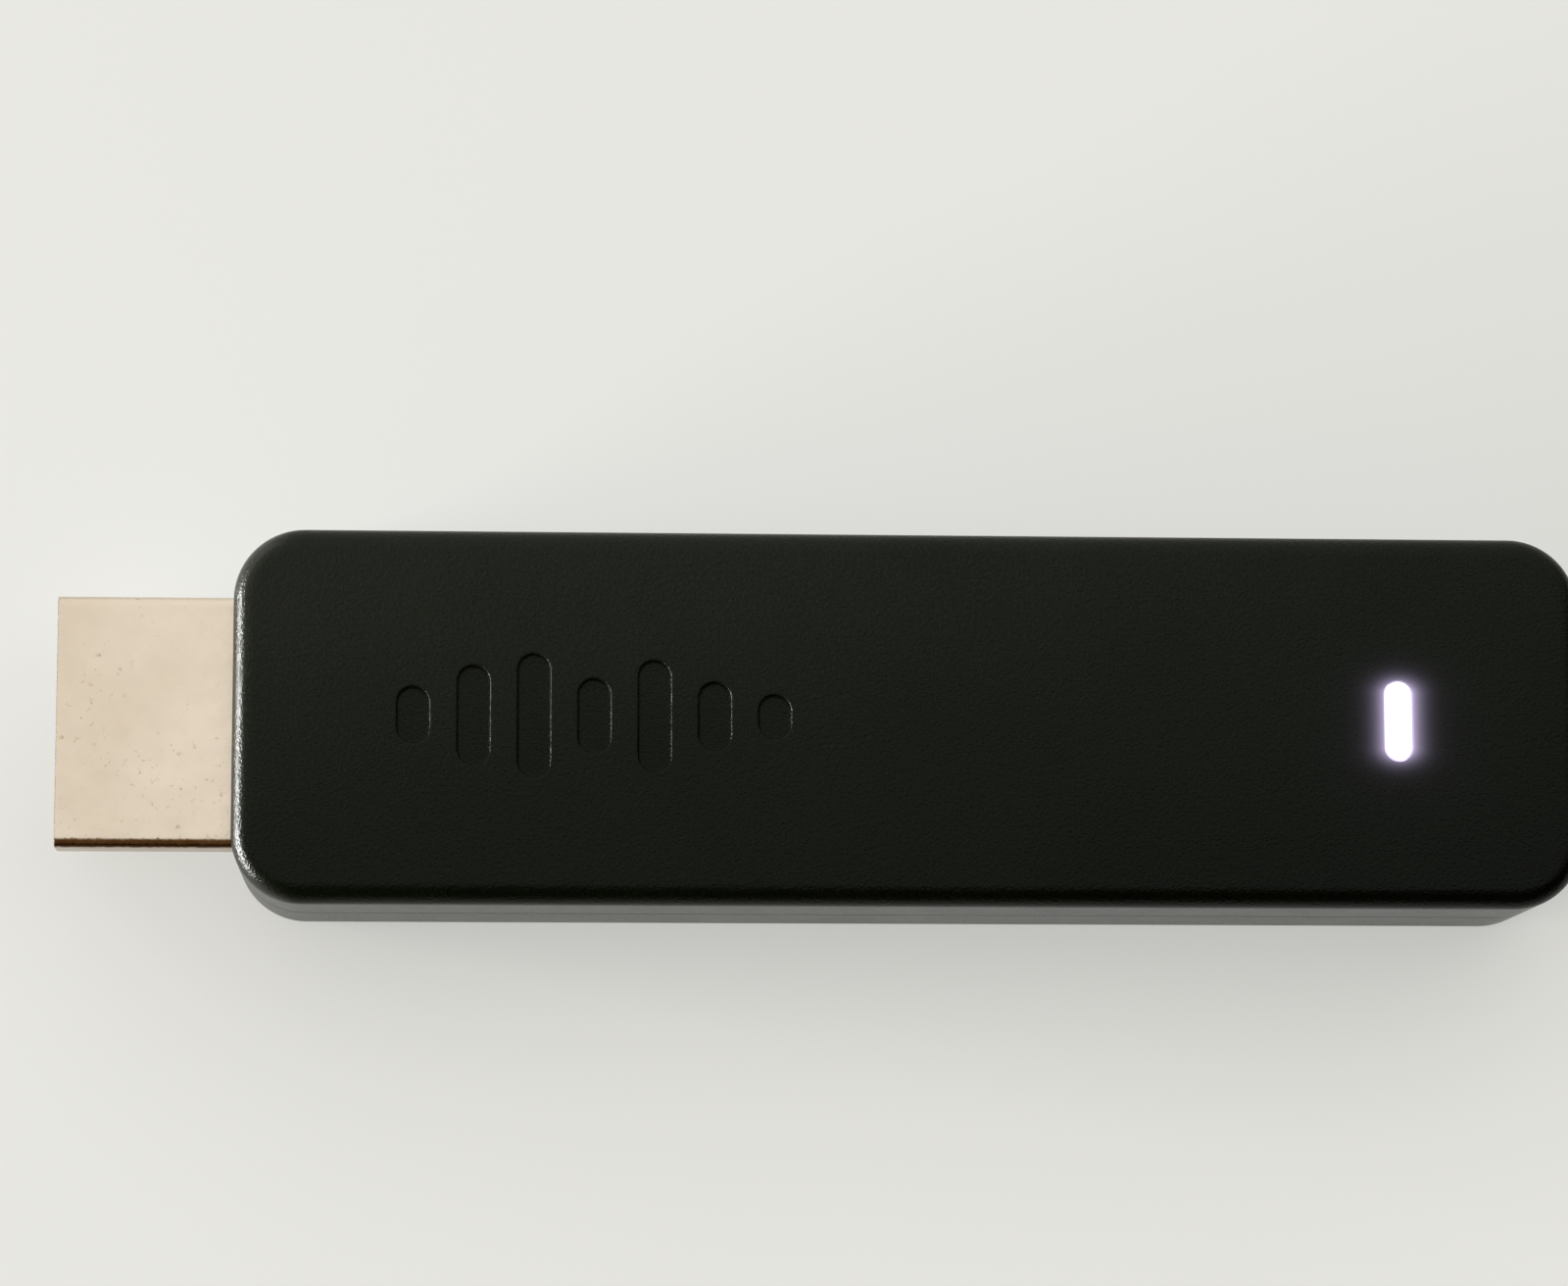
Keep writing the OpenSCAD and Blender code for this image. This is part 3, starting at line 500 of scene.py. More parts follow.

# %% [markdown]
# The case is dark ABS from a spark-eroded mould: its skin is a field of tiny craters about a tenth
# of a millimetre apart, which scatters light and turns a black plastic into a soft charcoal. One
# fine noise is the craters' bump and another lets their colour flicker, while a large one makes
# the whole skin drift. Over that lies painted shade: the colour is painted paler towards the plug
# and the back and darker towards the far end and the front, as the room's light falls. Fingers
# polish the edge at the plug's end. A single glossy material there would end in a hard line, so
# the shine grows over a few copies of the material, each on its own faces. The small mouldings
# share a plainer finish.

# %% The case's plastic
CASE_SHINE, WORN_SHINE = 0.115, 0.40
WORN_STEPS = 4
# Painted shade: the colour darkens over the first length towards the far end, and over the second towards
# the front.
SHADE_LENGTH, SHADE_WIDTH = 150, 28
SHADE_AND_DRIFT_START = -0.12


def shaded_spark_eroded_plastic(name, shine, tint):
    """Dark grained plastic with painted shade: its colour darkens as x / length - y / width + noise rises.
    """
    finish = Finish(name, (0.0030, 0.0048, 0.0016), 0.31)
    finish.set(Specular_IOR_Level=shine, Specular_Tint=tint)
    x, y, _ = finish.axes()
    # Painted shade towards the far end and the front, plus a large and a fine noise of real drift.
    shade_and_drift = finish.calc("MULTIPLY_ADD", y, -1 / SHADE_WIDTH, SHADE_AND_DRIFT_START)
    shade_and_drift = finish.calc("MULTIPLY_ADD", x, 1 / SHADE_LENGTH, shade_and_drift)
    shade_and_drift = finish.calc("MULTIPLY_ADD", finish.noise(9, 4), 0.3, shade_and_drift)
    shade_and_drift = finish.calc("MULTIPLY_ADD", finish.noise(0.15, 2), 0.9, shade_and_drift)
    finish.set(Base_Color=finish.ramp(
        shade_and_drift, (0.0, (0.0122, 0.0134, 0.0099)), (0.25, (0.0068, 0.0086, 0.0052)),
        (0.5, (0.0031, 0.0047, 0.0021)), (1.0, (0.0003, 0.0008, 0.0002))))
    finish.spread(finish.noise(3.5, 5), 0.25, 0.28)
    finish.grain(finish.noise(0.14, 2), 0.045, 0.9)
    glow_round_window(finish)
    return finish.material


def worn_edge_plastic(step):
    """One of the materials between the case's shine and the worn edge's."""
    shine = CASE_SHINE + (WORN_SHINE - CASE_SHINE) * step / WORN_STEPS
    return shaded_spark_eroded_plastic(f"worn_edge_plastic_{step}", shine, (1, 1, 1))


case_plastic = shaded_spark_eroded_plastic("shaded_spark_eroded_plastic", CASE_SHINE, (0.93, 1.0, 0.86))
worn_plastics = [worn_edge_plastic(step + 1) for step in range(WORN_STEPS)]
print("plastics of the case:", 1 + len(worn_plastics))


# %% The other mouldings
def smooth_moulding(name, colour, roughness, grain_size=0.3):
    """Plain plastic, foam or ceramic: a colour 15 % either way, with a faint fine grain."""
    finish = Finish(name, colour, roughness)
    dark, light = ([c * k for c in colour] for k in (0.85, 1.15))
    finish.mottle(finish.noise(4, 4), dark, light)
    finish.spread(finish.noise(1.8, 4), roughness - 0.05, roughness + 0.05)
    finish.grain(finish.noise(grain_size, 3), 0.003, 0.5)
    return finish.material


FINISHES = {
    "case_plastic": case_plastic,
    "button_plastic": smooth_moulding("button_plastic", (0.010, 0.0115, 0.009), 0.42),
    "black_plastic": smooth_moulding("black_plastic", (0.012, 0.012, 0.013), 0.5),
    "ivory_plastic": smooth_moulding("ivory_plastic", (0.68, 0.64, 0.53), 0.45),
    "black_foam": smooth_moulding("black_foam", (0.012, 0.012, 0.012), 0.95, 0.12),
    "chip_black": smooth_moulding("chip_epoxy", (0.012, 0.012, 0.013), 0.6, 0.08),
    "ferrite_grey": smooth_moulding("ferrite", (0.06, 0.06, 0.065), 0.7, 0.06),
    "ceramic_tan": smooth_moulding("ceramic", (0.42, 0.27, 0.13), 0.45, 0.06),
    "thermal_rubber": smooth_moulding("thermal_rubber", (0.15, 0.20, 0.32), 0.8, 0.2),
}
print("finishes of plastic and the like:", len(FINISHES))

# %% [markdown]
# The plug is pressed from steel strip and plated with nickel, which turns warm with handling. The
# plate is not a mirror: rolling leaves it faintly uneven, and age adds a scatter of brown spots,
# which are noise with a hard threshold. Three marks are painted shade: a ragged brown band on the
# front bend, painted where the bend reflects the dim front of the room; sides painted darker than
# the top, for the shadowed table that they reflect; and a dark cut edge at the tip, painted to put
# out its highlight. Each of these starts at a named distance in from the plug's box, so it stays
# on its bend or edge. The other metals are the same idea with less age.

# %% Nickel
plug_low, plug_high = box_of("plug_shell")
WARMTH_PER_MM, WARMTH_START = 0.03, -0.97
SPOTS_PER_MM = 0.012
# Painted shade on the plug: a brown band on the front bend, darker sides and a dark cut tip, each placed by
# these distances.
BEND_IN, BEND_DOWN, BEND_SOFT = 0.73, 0.295, 1 / 12
SHADE_BAND_IN, SHADE_BAND_WIDTH = 0.60, 0.5
SHADED_SIDE_IN, SHADED_SIDE_SOFT = 0.47, 0.5
DARK_TIP_L, DARK_TIP_SOFT = 0.05, 0.02
DARK_TIP_IN, DARK_TIP_FADE = 0.20, 0.2
NICKEL_SHADE_BROWN, NICKEL_DEEP_SHADE = (0.60, 0.38, 0.18), (0.05, 0.022, 0.008)


def spotted_nickel(finish):
    """Warm plate that pales towards the case, with small brown spots, more of them at the front."""
    x, y, _ = finish.axes()
    from_case = finish.calc("MULTIPLY_ADD", x, -WARMTH_PER_MM, WARMTH_START)
    warm = finish.ramp(
        finish.calc("MULTIPLY_ADD", finish.noise(4.5, 5), 0.7, from_case),
        (0.25, (0.78, 0.68, 0.55)), (0.75, (0.70, 0.59, 0.46)))
    small = finish.ramp(finish.noise(0.38, 3), (0.62, (0, 0, 0)), (0.72, (1, 1, 1)))
    often = finish.calc("MULTIPLY_ADD", y, -SPOTS_PER_MM, finish.noise(3.2, 3))
    where = finish.ramp(often, (0.46, (0, 0, 0)), (0.62, (0.5, 0.5, 0.5)))
    return finish.blend(finish.calc("MULTIPLY", small, where), warm, (0.30, 0.19, 0.09))


def aged_nickel_with_painted_shade():
    """Spotted plate under three coats of painted shade: a brown front bend, darker sides and a dark cut
    tip.
    """
    finish = Finish("aged_nickel_with_painted_shade", (0.74, 0.64, 0.51), 0.26, 1.0)
    colour = spotted_nickel(finish)
    x, y, z = finish.axes()
    # Painted shade: a ragged brown band on the front bend, dark at its edges and paler in its middle.
    ragged = finish.noise(0.25, 4)
    ragged_y = finish.calc("MULTIPLY_ADD", ragged, 0.5, y)
    front = finish.beyond(ragged_y, BEND_IN - plug_high[1], -BEND_SOFT)
    ragged_z = finish.calc("MULTIPLY_ADD", ragged, 0.2, z)
    above = finish.beyond(ragged_z, plug_high[2] - BEND_DOWN, BEND_SOFT)
    across = finish.calc("MULTIPLY_ADD", ragged, 0.2, y)
    brown = finish.ramp(
        finish.beyond(across, SHADE_BAND_IN - plug_high[1], -SHADE_BAND_WIDTH), (0.0, NICKEL_DEEP_SHADE),
        (0.15, NICKEL_SHADE_BROWN), (0.50, NICKEL_SHADE_BROWN), (0.65, NICKEL_DEEP_SHADE))
    colour = finish.blend(finish.calc("MULTIPLY", front, above), colour, brown)
    # Painted shade: the sides are darkened below the band.
    side = finish.beyond(finish.calc("ABSOLUTE", y), plug_high[1] - SHADED_SIDE_IN, SHADED_SIDE_SOFT)
    side = finish.calc("MULTIPLY", side, finish.calc("SUBTRACT", 1, above))
    colour = finish.blend(side, colour, (0.40, 0.32, 0.25))
    # Painted shade: the cut tip is darkened, all but its front corner, so that it shows no highlight.
    tip = finish.beyond(x, plug_low[0] + DARK_TIP_L, -DARK_TIP_SOFT)
    shaded_tip = finish.calc("MULTIPLY", tip, finish.beyond(y, DARK_TIP_IN - plug_high[1], DARK_TIP_FADE))
    finish.set(Base_Color=finish.blend(shaded_tip, colour, (0.06, 0.05, 0.04)))
    finish.spread(finish.noise(1.2, 4), 0.22, 0.30)
    finish.grain(finish.noise(0.35, 4), 0.003, 0.5)
    return finish.material


FINISHES["plug_nickel"] = aged_nickel_with_painted_shade()
print("the plug's box ends at", plug_low.round(3), "and", plug_high.round(3))


# %% The other metals
def rolled_metal(name, colour, roughness):
    """Metal strip: a slightly uneven colour and long faint streaks along X."""
    finish = Finish(name, colour, roughness, 1.0)
    dark, light = ([c * k for c in colour] for k in (0.92, 1.05))
    finish.mottle(finish.noise(5, 4), dark, light)
    finish.spread(finish.noise(0.5, 4, (12, 1, 1)), roughness - 0.05, roughness + 0.07)
    finish.grain(finish.noise(0.12, 3, (14, 1, 1)), 0.004, 0.35)
    return finish.material


METALS = {
    "contact_gold": ((0.83, 0.56, 0.20), 0.25), "spring_steel": ((0.56, 0.57, 0.58), 0.22),
    "tinned_steel": ((0.52, 0.52, 0.52), 0.38), "spreader_aluminium": ((0.60, 0.61, 0.62), 0.42),
    "antenna_metal": ((0.60, 0.50, 0.30), 0.35),
}
for name, (colour, roughness) in METALS.items():
    FINISHES[name] = rolled_metal(name, colour, roughness)
print("finishes with the metals:", len(FINISHES))

# %% [markdown]
# The lit window is a rod of milky acrylic with a white diode under it. A real light pipe is bright
# in its middle and loses a little towards its skin. The shader gives out light of its own, and the
# board's solder mask is a green lacquer over faint copper tracks.

# %% Light and board
LIT_STRENGTH = 3.0
TRACK_PITCH = 6
TRACK_GAP = 0.03
MASK_GREENS = {
    "Color1": (0.006, 0.060, 0.026), "Color2": (0.007, 0.066, 0.030), "Mortar": (0.020, 0.120, 0.050),
}


def lit_acrylic():
    """Milky rod whose light rises from the skin to the middle line of the pill."""
    finish = Finish("lit_acrylic", (0.85, 0.80, 0.95), 0.3)
    deep = finish.calc("MULTIPLY", past_window(finish), -2 / WINDOW_WIDTH)
    light = finish.ramp(
        deep, (0.0, (0.22, 0.19, 0.26)), (0.16, (0.36, 0.33, 0.40)), (0.45, (0.95, 0.90, 1.0)))
    finish.set(Emission_Color=light, Emission_Strength=LIT_STRENGTH)
    finish.spread(finish.noise(1.5, 3), 0.25, 0.35)
    return finish.material


def solder_mask():
    """Green lacquer whose faint raised lines, like copper tracks, are the joints of a brick pattern."""
    finish = Finish("solder_mask", (0.008, 0.07, 0.03), 0.35)
    scale = 1 / (TRACK_PITCH * MM)
    brick = finish.node("TexBrick", Vector=finish.place, Scale=scale, Mortar_Size=TRACK_GAP, **MASK_GREENS)
    finish.set(Base_Color=brick["Color"])
    finish.grain(brick["Fac"], 0.02, 0.4)
    finish.grain(finish.noise(0.5, 3), 0.003, 0.3)
    return finish.material


FINISHES["light_window"] = lit_acrylic()
FINISHES["board_green"] = solder_mask()
print("all finishes:", len(FINISHES))

# %% [markdown]
# Most pieces are hidden in the case, and their frame shapes are right as they are. They keep their
# meshes and only change their finish: the record names a material slot for every node, and the
# finish made for that slot takes its place.

# %% Finishes of the frame's own pieces
SLOT_OF = {row["node"]: row["material_slot"] for row in frame["record"]["subparts"]}
for node, slot in SLOT_OF.items():
    frame["nodes"][node].material_slots[0].material = FINISHES[slot]
print("finishes given to", len(SLOT_OF), "nodes")

# %% [markdown]
# A piece of this scene that stands in for a frame piece needs a few more things: smooth shading
# with its real edges kept sharp, the finish of the node that it replaces, and the body that it
# moves with.

# %% Finishing a piece
SMOOTH_BELOW = np.radians(32)


def finished(piece, body, replaced, *extra):
    """Shades a piece, gives it its materials and ties it to the body that carries it.

    Clearing the list of materials also clears each face's slot, so the slots are put back."""
    slot = SLOT_OF[replaced]
    materials = [FINISHES[slot], *extra]
    slots = np.empty(len(piece.data.polygons), int)
    piece.data.polygons.foreach_get("material_index", slots)
    piece.data.materials.clear()
    for material in materials:
        piece.data.materials.append(material)
    piece.data.polygons.foreach_set("material_index", np.minimum(slots, len(materials) - 1))
    piece.data.shade_smooth()
    piece.data.set_sharp_from_angle(angle=SMOOTH_BELOW)
    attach(piece, body)
    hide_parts(replaced)
    print(piece.name, "has", len(piece.data.polygons), "faces and", open_edges(piece.data), "open edges")


print("edges are smooth below", round(np.degrees(SMOOTH_BELOW)), "degrees")

# %% [markdown]
# The case's soft form follows the same few sizes as the moulding: corner radius, edge radii, and a
# tiny radius where each shell ends at the joint line. It lies an UNDERCUT inside the frame's
# shells, so that the boolean never meets two surfaces in one place.

# %% The case's sizes
UNDERCUT = 0.02
JOINT_UNDERCUT = 0.002
FLOOR_UNDERCUT = 0.005
CORNER_R = 3.9
TOP_EDGE_R = 1.1
BOTTOM_EDGE_R = 0.8
JOINT_EDGE_R = 0.018
JOINT_GAP = 0.12

case_middle = (shell_low + shell_high)[:2] / 2
case_length, case_width = (shell_high - shell_low)[:2] - 2 * UNDERCUT
case_outline = rectangle_outline(case_middle, case_length, case_width, CORNER_R - UNDERCUT)
upper_joint = box_of("upper_housing")[0][2]
lower_joint = upper_joint - JOINT_GAP
roof = shell_high[2] - UNDERCUT
print("the case's outline has", len(case_outline[0]), "points")

# %% [markdown]
# Seven bars are sunk into the roof near the plug. A mould makes them with a raised insert, whose
# edges are never sharp, so each bar rolls over a fine lip, drops down a wall and rolls out into
# its floor. The bars are pits in the form: one section, carried round seven pills.

# %% The sunk bars
BAR_SHARES = [0.45, 0.8, 1, 0.6, 0.9, 0.55, 0.35]
BARS_FROM_END = 19.7
BARS_LENGTH = 21.4
BAR_WIDTH = 1.7
LONGEST_BAR = 6.7
BAR_DEPTH = 0.25
BAR_LIP_R = 0.12
BAR_FLOOR_R = 0.10


def pit(floor):
    """Section of a sunk bar: over the lip, down the wall, out into the floor."""
    return profile(
        (BAR_LIP_R + SUPPORT / 2, roof), arc((BAR_LIP_R, roof - BAR_LIP_R), BAR_LIP_R, 90, 180),
        arc((-BAR_FLOOR_R, floor + BAR_FLOOR_R), BAR_FLOOR_R, 0, -90), (-BAR_FLOOR_R - SUPPORT / 2, floor))


def bar_outlines():
    """The sunk bars' pills, evenly spaced about a middle, each a share of the longest one's length."""
    grown = 2 * UNDERCUT
    reach = (BARS_LENGTH - BAR_WIDTH) / 2
    places = shell_low[0] + BARS_FROM_END + np.linspace(-reach, reach, len(BAR_SHARES))
    return [
        pill_outline(np.array([x, 0]), LONGEST_BAR * share + grown, BAR_WIDTH + grown)
        for x, share in zip(places, BAR_SHARES)]


print("longest and shortest bar:", LONGEST_BAR, "and", round(LONGEST_BAR * min(BAR_SHARES), 2))

# %% [markdown]
# The upper shell's form is the case's outline carried up from the joint and over the roof's edge,
# with a shaft for the light pipe. Its faces near the plug's end take the slots of the worn
# plastics, so the wear needs no picture and follows the edge exactly.

# %% The upper shell
WINDOW_GAP = 0.05
WORN_FROM_END, WORN_FADE = 3.2, 1.4
WORN_BELOW_ROOF, WORN_ABOVE_WALL = 0.06, 0.45
TOP_EDGE_STEPS = 14


def worn_slots(shell):
    """Material slot of each face of the shell's sweep, nought where nothing is worn.

    The wear is the least of three shares: how far a face is from the wear's end, how far below the
    roof, and how far above the upright wall."""
    middle = (shell[:-1] + shell[1:]) / 2
    depth = (roof - middle[..., 2]) / TOP_EDGE_R
    from_end = (shell_low[0] + WORN_FROM_END - middle[..., 0]) / WORN_FADE
    worn = np.minimum.reduce([from_end, depth / WORN_BELOW_ROOF - 1, (1 - depth) / WORN_ABOVE_WALL])
    return np.round(WORN_STEPS * np.clip(worn, 0, 1)).astype(int)


def upper_form():
    """Closed form of the upper shell's outside, with pits for the bars and a shaft for the light."""
    skin = Skin()
    joint = upper_joint - JOINT_UNDERCUT
    edge = JOINT_EDGE_R
    top = arc((-TOP_EDGE_R, roof - TOP_EDGE_R), TOP_EDGE_R, 90, 0, TOP_EDGE_STEPS)
    shell = sweep(case_outline, profile(
        (-TOP_EDGE_R - SUPPORT, roof), top, (0, roof - TOP_EDGE_R - SUPPORT), (0, joint + edge + SUPPORT),
        arc((-edge, joint + edge), edge, 0, -90), (-edge - SUPPORT, joint)))
    skin.grid(shell, worn_slots(shell))
    grown = 2 * WINDOW_GAP + UNDERCUT
    window = pill_outline(window_middle, WINDOW_LENGTH + grown, WINDOW_WIDTH + grown)
    shaft = sweep(window, profile(
        (edge + SUPPORT / 2, roof), arc((edge, roof - edge), edge, 90, 180), (0, joint)))
    skin.grid(shaft)
    rims = [shaft[0, :, :2]]
    section = pit(roof - BAR_DEPTH)
    for outline in bar_outlines():
        sunk = sweep(outline, section)
        skin.grid(sunk)
        skin.cap(sunk[-1])
        rims.append(sunk[0, :, :2])
    skin.fill(shell[0, :, :2], rims, roof)
    skin.fill(shell[-1, :, :2], [shaft[-1, :, :2]], joint)
    return skin.mesh("upper_form")


upper_shell = combined("upper_shell", plain_copy("upper_housing"), [("INTERSECT", upper_form())])
finished(upper_shell, "stick", "upper_housing", *worn_plastics)

# %% [markdown]
# The lower shell has a lip that reaches up inside the upper one and carries the snap beads. Its
# form must not shave that lip, so above the joint it steps in to a shoulder and goes on up past
# the lip, where there is nothing left to trim.

# %% The lower shell
SHOULDER_IN = 0.5
BOTTOM_EDGE_STEPS = 12


def lower_form():
    """Closed form of the lower shell's outside, drawn in above the joint to clear the lip."""
    skin = Skin()
    floor = shell_low[2] + FLOOR_UNDERCUT
    joint = lower_joint + JOINT_UNDERCUT
    edge = JOINT_EDGE_R
    bottom = arc((-BOTTOM_EDGE_R, floor + BOTTOM_EDGE_R), BOTTOM_EDGE_R, -90, 0, BOTTOM_EDGE_STEPS)
    shell = sweep(case_outline, profile(
        (-BOTTOM_EDGE_R - SUPPORT, floor), bottom, (0, floor + BOTTOM_EDGE_R + SUPPORT),
        (0, joint - edge - SUPPORT), arc((-edge, joint - edge), edge, 0, 90),
        (-SHOULDER_IN, joint), (-SHOULDER_IN, roof)))
    skin.capped(shell)
    return skin.mesh("lower_form")


lower_shell = combined("lower_shell", plain_copy("lower_housing"), [("INTERSECT", lower_form())])
finished(lower_shell, "stick", "lower_housing")

# %% [markdown]
# The shells of a plug and of a socket are strips of steel bent round into a tube, wide side up.
# Their mouths are coined: the plug's a little inwards, so that it finds its way into a socket, and
# the socket's outwards, to guide a lead in. The sheared edge is rounded off. All of that is one
# profile carried round the tube's outline, and a negative size turns the bend outwards.

# %% Bent metal tubes
COINED_STEPS, LIP_STEPS = 5, 10


def tapered_outline(low, high, side_h, bottom_w, bend_r):
    """Section of a plug or socket across its length: wide at its top, narrow at its bottom.

    Six corners in Y and Z are drawn in by the bend radius, by (n1 + n2) / (1 + n1 . n2) of the two
    inward normals at each corner, and a disc of that radius is rolled round them."""
    y, bottom, top = abs(low[1]), low[2], high[2]
    waist, half = top - side_h, bottom_w / 2
    corners = np.array([[y, waist], [y, top], [-y, top], [-y, waist], [-half, bottom], [half, bottom]])
    edge = np.roll(corners, -1, axis=0) - corners
    edge /= np.linalg.norm(edge, axis=1)[:, None]
    after = np.stack([-edge[:, 1], edge[:, 0]], axis=1)
    before = np.roll(after, 1, axis=0)
    shift = (before + after) / (1 + (before * after).sum(axis=1))[:, None]
    return rolled_outline(corners + bend_r * shift, bend_r)


def coined_tube(name, outline, wall, mouth, rear, coined_in, coined_l, lip):
    """Closed tube along X whose mouth bends by coined_in (outwards where negative) over coined_l.

    The bend is an arc of radius (coined_l^2 + coined_in^2) / (2 |coined_in|), and the lip is half
    an ellipse that spans what is left of the wall."""
    s = np.sign(rear - mouth)
    start = mouth + s * (lip + coined_l)
    radius = (coined_l ** 2 + coined_in ** 2) / (2 * abs(coined_in))
    angle = np.degrees(np.arcsin(coined_l / radius))
    if coined_in > 0:
        outer = arc((-radius, 0), radius, 0, -angle, COINED_STEPS)
        thick = wall - coined_in
    else:
        outer = arc((radius, 0), radius, 180, 180 + angle, COINED_STEPS)
        thick = wall
    outer[:, 1] = start + s * outer[:, 1]
    inner = np.array([[-wall, start]]) if coined_in > 0 else outer[::-1] - [wall, 0]
    rim = arc((-coined_in - thick / 2, 0), thick / 2, 0, -180, LIP_STEPS)
    rim[:, 1] = mouth + s * lip * (1 + rim[:, 1] / (thick / 2))
    skin = Skin()
    skin.grid(sweep(outline, profile(
        (0, rear), (0, rear - s * SUPPORT), (0, start + s * SUPPORT), outer, rim[1:-1], inner,
        (-wall, rear - s * SUPPORT), (-wall, rear), (0, rear)), (2, 0, 1)))
    return skin.mesh(name)


def rounded_block(low, high, edge):
    """Closed block with all its edges rounded.

    Its corners are a hundredth rounder than its edges, so that no corner arc shrinks to a point."""
    low, high = np.array(low, float), np.array(high, float)
    middle, size = (low + high) / 2, high - low
    outline = rectangle_outline(middle[:2], size[0], size[1], edge * 1.01)
    foot, top = low[2] + edge, high[2] - edge
    block = sweep(outline, profile(arc((-edge, foot), edge, -90, 0, 4), arc((-edge, top), edge, 0, 90, 4)))
    skin = Skin()
    skin.capped(block)
    return skin.mesh("block")


print("a coined mouth takes", COINED_STEPS, "steps and its lip", LIP_STEPS)

# %% [markdown]
# The plug's tube has its seam along its underside, a narrow slit that is cut out. Two tabs behind
# the tube, hidden in the case, straddle the board. They reach into the tube's wall and stay a HAIR
# inside both its faces, because a union of surfaces that only touch is a gamble.

# %% The plug's shell
HAIR = 0.01
PLUG_T = 0.3
PLUG_BEND_R = 0.55
PLUG_SIDE_H = 2.35
PLUG_BOTTOM_W = 10.4
PLUG_TUBE_IN_CASE = 4.5
PLUG_COINED_IN, PLUG_COINED_L, PLUG_LIP = 0.012, 0.25, 0.03
TAB_EDGE_R = 0.04
SEAM_Y, SEAM_W, SEAM_L = 1.2, 0.12, 10.5
SEAM_PAST, SEAM_ABOVE, SEAM_EDGE_R = 1, 0.2, 0.02

board_low, board_high = box_of("circuit_board")
tube_end = shell_low[0] + PLUG_TUBE_IN_CASE
tab_top, tab_bottom = plug_high[2] - PLUG_BEND_R, plug_high[2] - PLUG_SIDE_H + PLUG_BEND_R


def plug_tab(side):
    """A tab behind the tube at one side, and the leg that carries it down past the board."""
    near, far = sorted([side * (plug_high[1] - HAIR), side * (plug_high[1] - PLUG_T + HAIR)])
    tab = rounded_block((tube_end - PLUG_T, near, tab_bottom), (plug_high[0], far, tab_top), TAB_EDGE_R)
    leg_low = (board_low[0], near, board_low[2])
    leg = rounded_block(leg_low, (plug_high[0] - HAIR, far, tab_top - HAIR), TAB_EDGE_R)
    return [("UNION", tab), ("UNION", leg)]


def plug_seam():
    """The slit along the underside, from in front of the tip to its end in the plug."""
    low = (plug_low[0] - SEAM_PAST, SEAM_Y, plug_low[2] - SEAM_PAST)
    high = (plug_low[0] + SEAM_L, SEAM_Y + SEAM_W, plug_low[2] + PLUG_T + SEAM_ABOVE)
    return [("DIFFERENCE", rounded_block(low, high, SEAM_EDGE_R))]


plug_outline = tapered_outline(plug_low, plug_high, PLUG_SIDE_H, PLUG_BOTTOM_W, PLUG_BEND_R)
plug_tube = coined_tube(
    "plug_tube", plug_outline, PLUG_T, plug_low[0], tube_end, PLUG_COINED_IN, PLUG_COINED_L, PLUG_LIP)
plug_piece = combined("nickel_plug_shell", plug_tube, plug_tab(-1) + plug_tab(1) + plug_seam())
finished(plug_piece, "stick", "plug_shell")

# %% [markdown]
# The power socket's shell is pressed in the same way, from tin plate, with a mouth that flares.
# Four small feet at its sides are soldered to the board.

# %% The socket's shell
SOCKET_T = 0.3
SOCKET_BEND_R = 0.4
SOCKET_SIDE_H = 1.5
SOCKET_BOTTOM_W = 5.7
SOCKET_W = 7.5
SOCKET_FLARE, SOCKET_FLARE_L, SOCKET_LIP = 0.1, 0.5, 0.12
FOOT_L, FOOT_W = 1.4, 1
FRONT_FOOT_IN = 3.5

socket_low, socket_high = box_of("socket_shell")


def socket_foot(x, side):
    """A flat foot on the board, out from one side of the socket."""
    near, far = sorted([side * (SOCKET_W / 2 + FOOT_W), side * (SOCKET_W / 2 - SOCKET_T)])
    low, high = (x + HAIR, near, board_high[2]), (x + FOOT_L, far, board_high[2] + SOCKET_T)
    return ("UNION", rounded_block(low, high, TAB_EDGE_R))


socket_outline = tapered_outline(
    (0, -SOCKET_W / 2, socket_low[2]), (0, SOCKET_W / 2, socket_high[2]),
    SOCKET_SIDE_H, SOCKET_BOTTOM_W, SOCKET_BEND_R)
socket_tube = coined_tube(
    "socket_tube", socket_outline, SOCKET_T, socket_high[0], socket_low[0],
    -SOCKET_FLARE, SOCKET_FLARE_L, SOCKET_LIP)
feet = [socket_foot(x, side) for x in (socket_low[0], socket_high[0] - FRONT_FOOT_IN) for side in (-1, 1)]
socket_piece = combined("tinned_socket_shell", socket_tube, feet)
finished(socket_piece, "stick", "socket_shell")

# %% [markdown]
# The lit window is the top of a moulded light pipe: a short rod with a flange round it that keeps
# it from falling out. Its face is barely domed and its edge is soft, because acrylic shrinks as it
# cools. The reset button is its sister in black: the same kind of sweep, laid on its side, with a
# shallow dish for the fingertip.

# %% The light pipe
FLANGE_OUT, FLANGE_H, FLANGE_EDGE_R = 0.6, 0.6, 0.05
PILL_CLEARANCE = 0.02
PIPE_FLANGE_DOWN = 1.3
PIPE_EDGE_R, PIPE_DOME, PIPE_REACH = 0.08, 0.02, 0.6


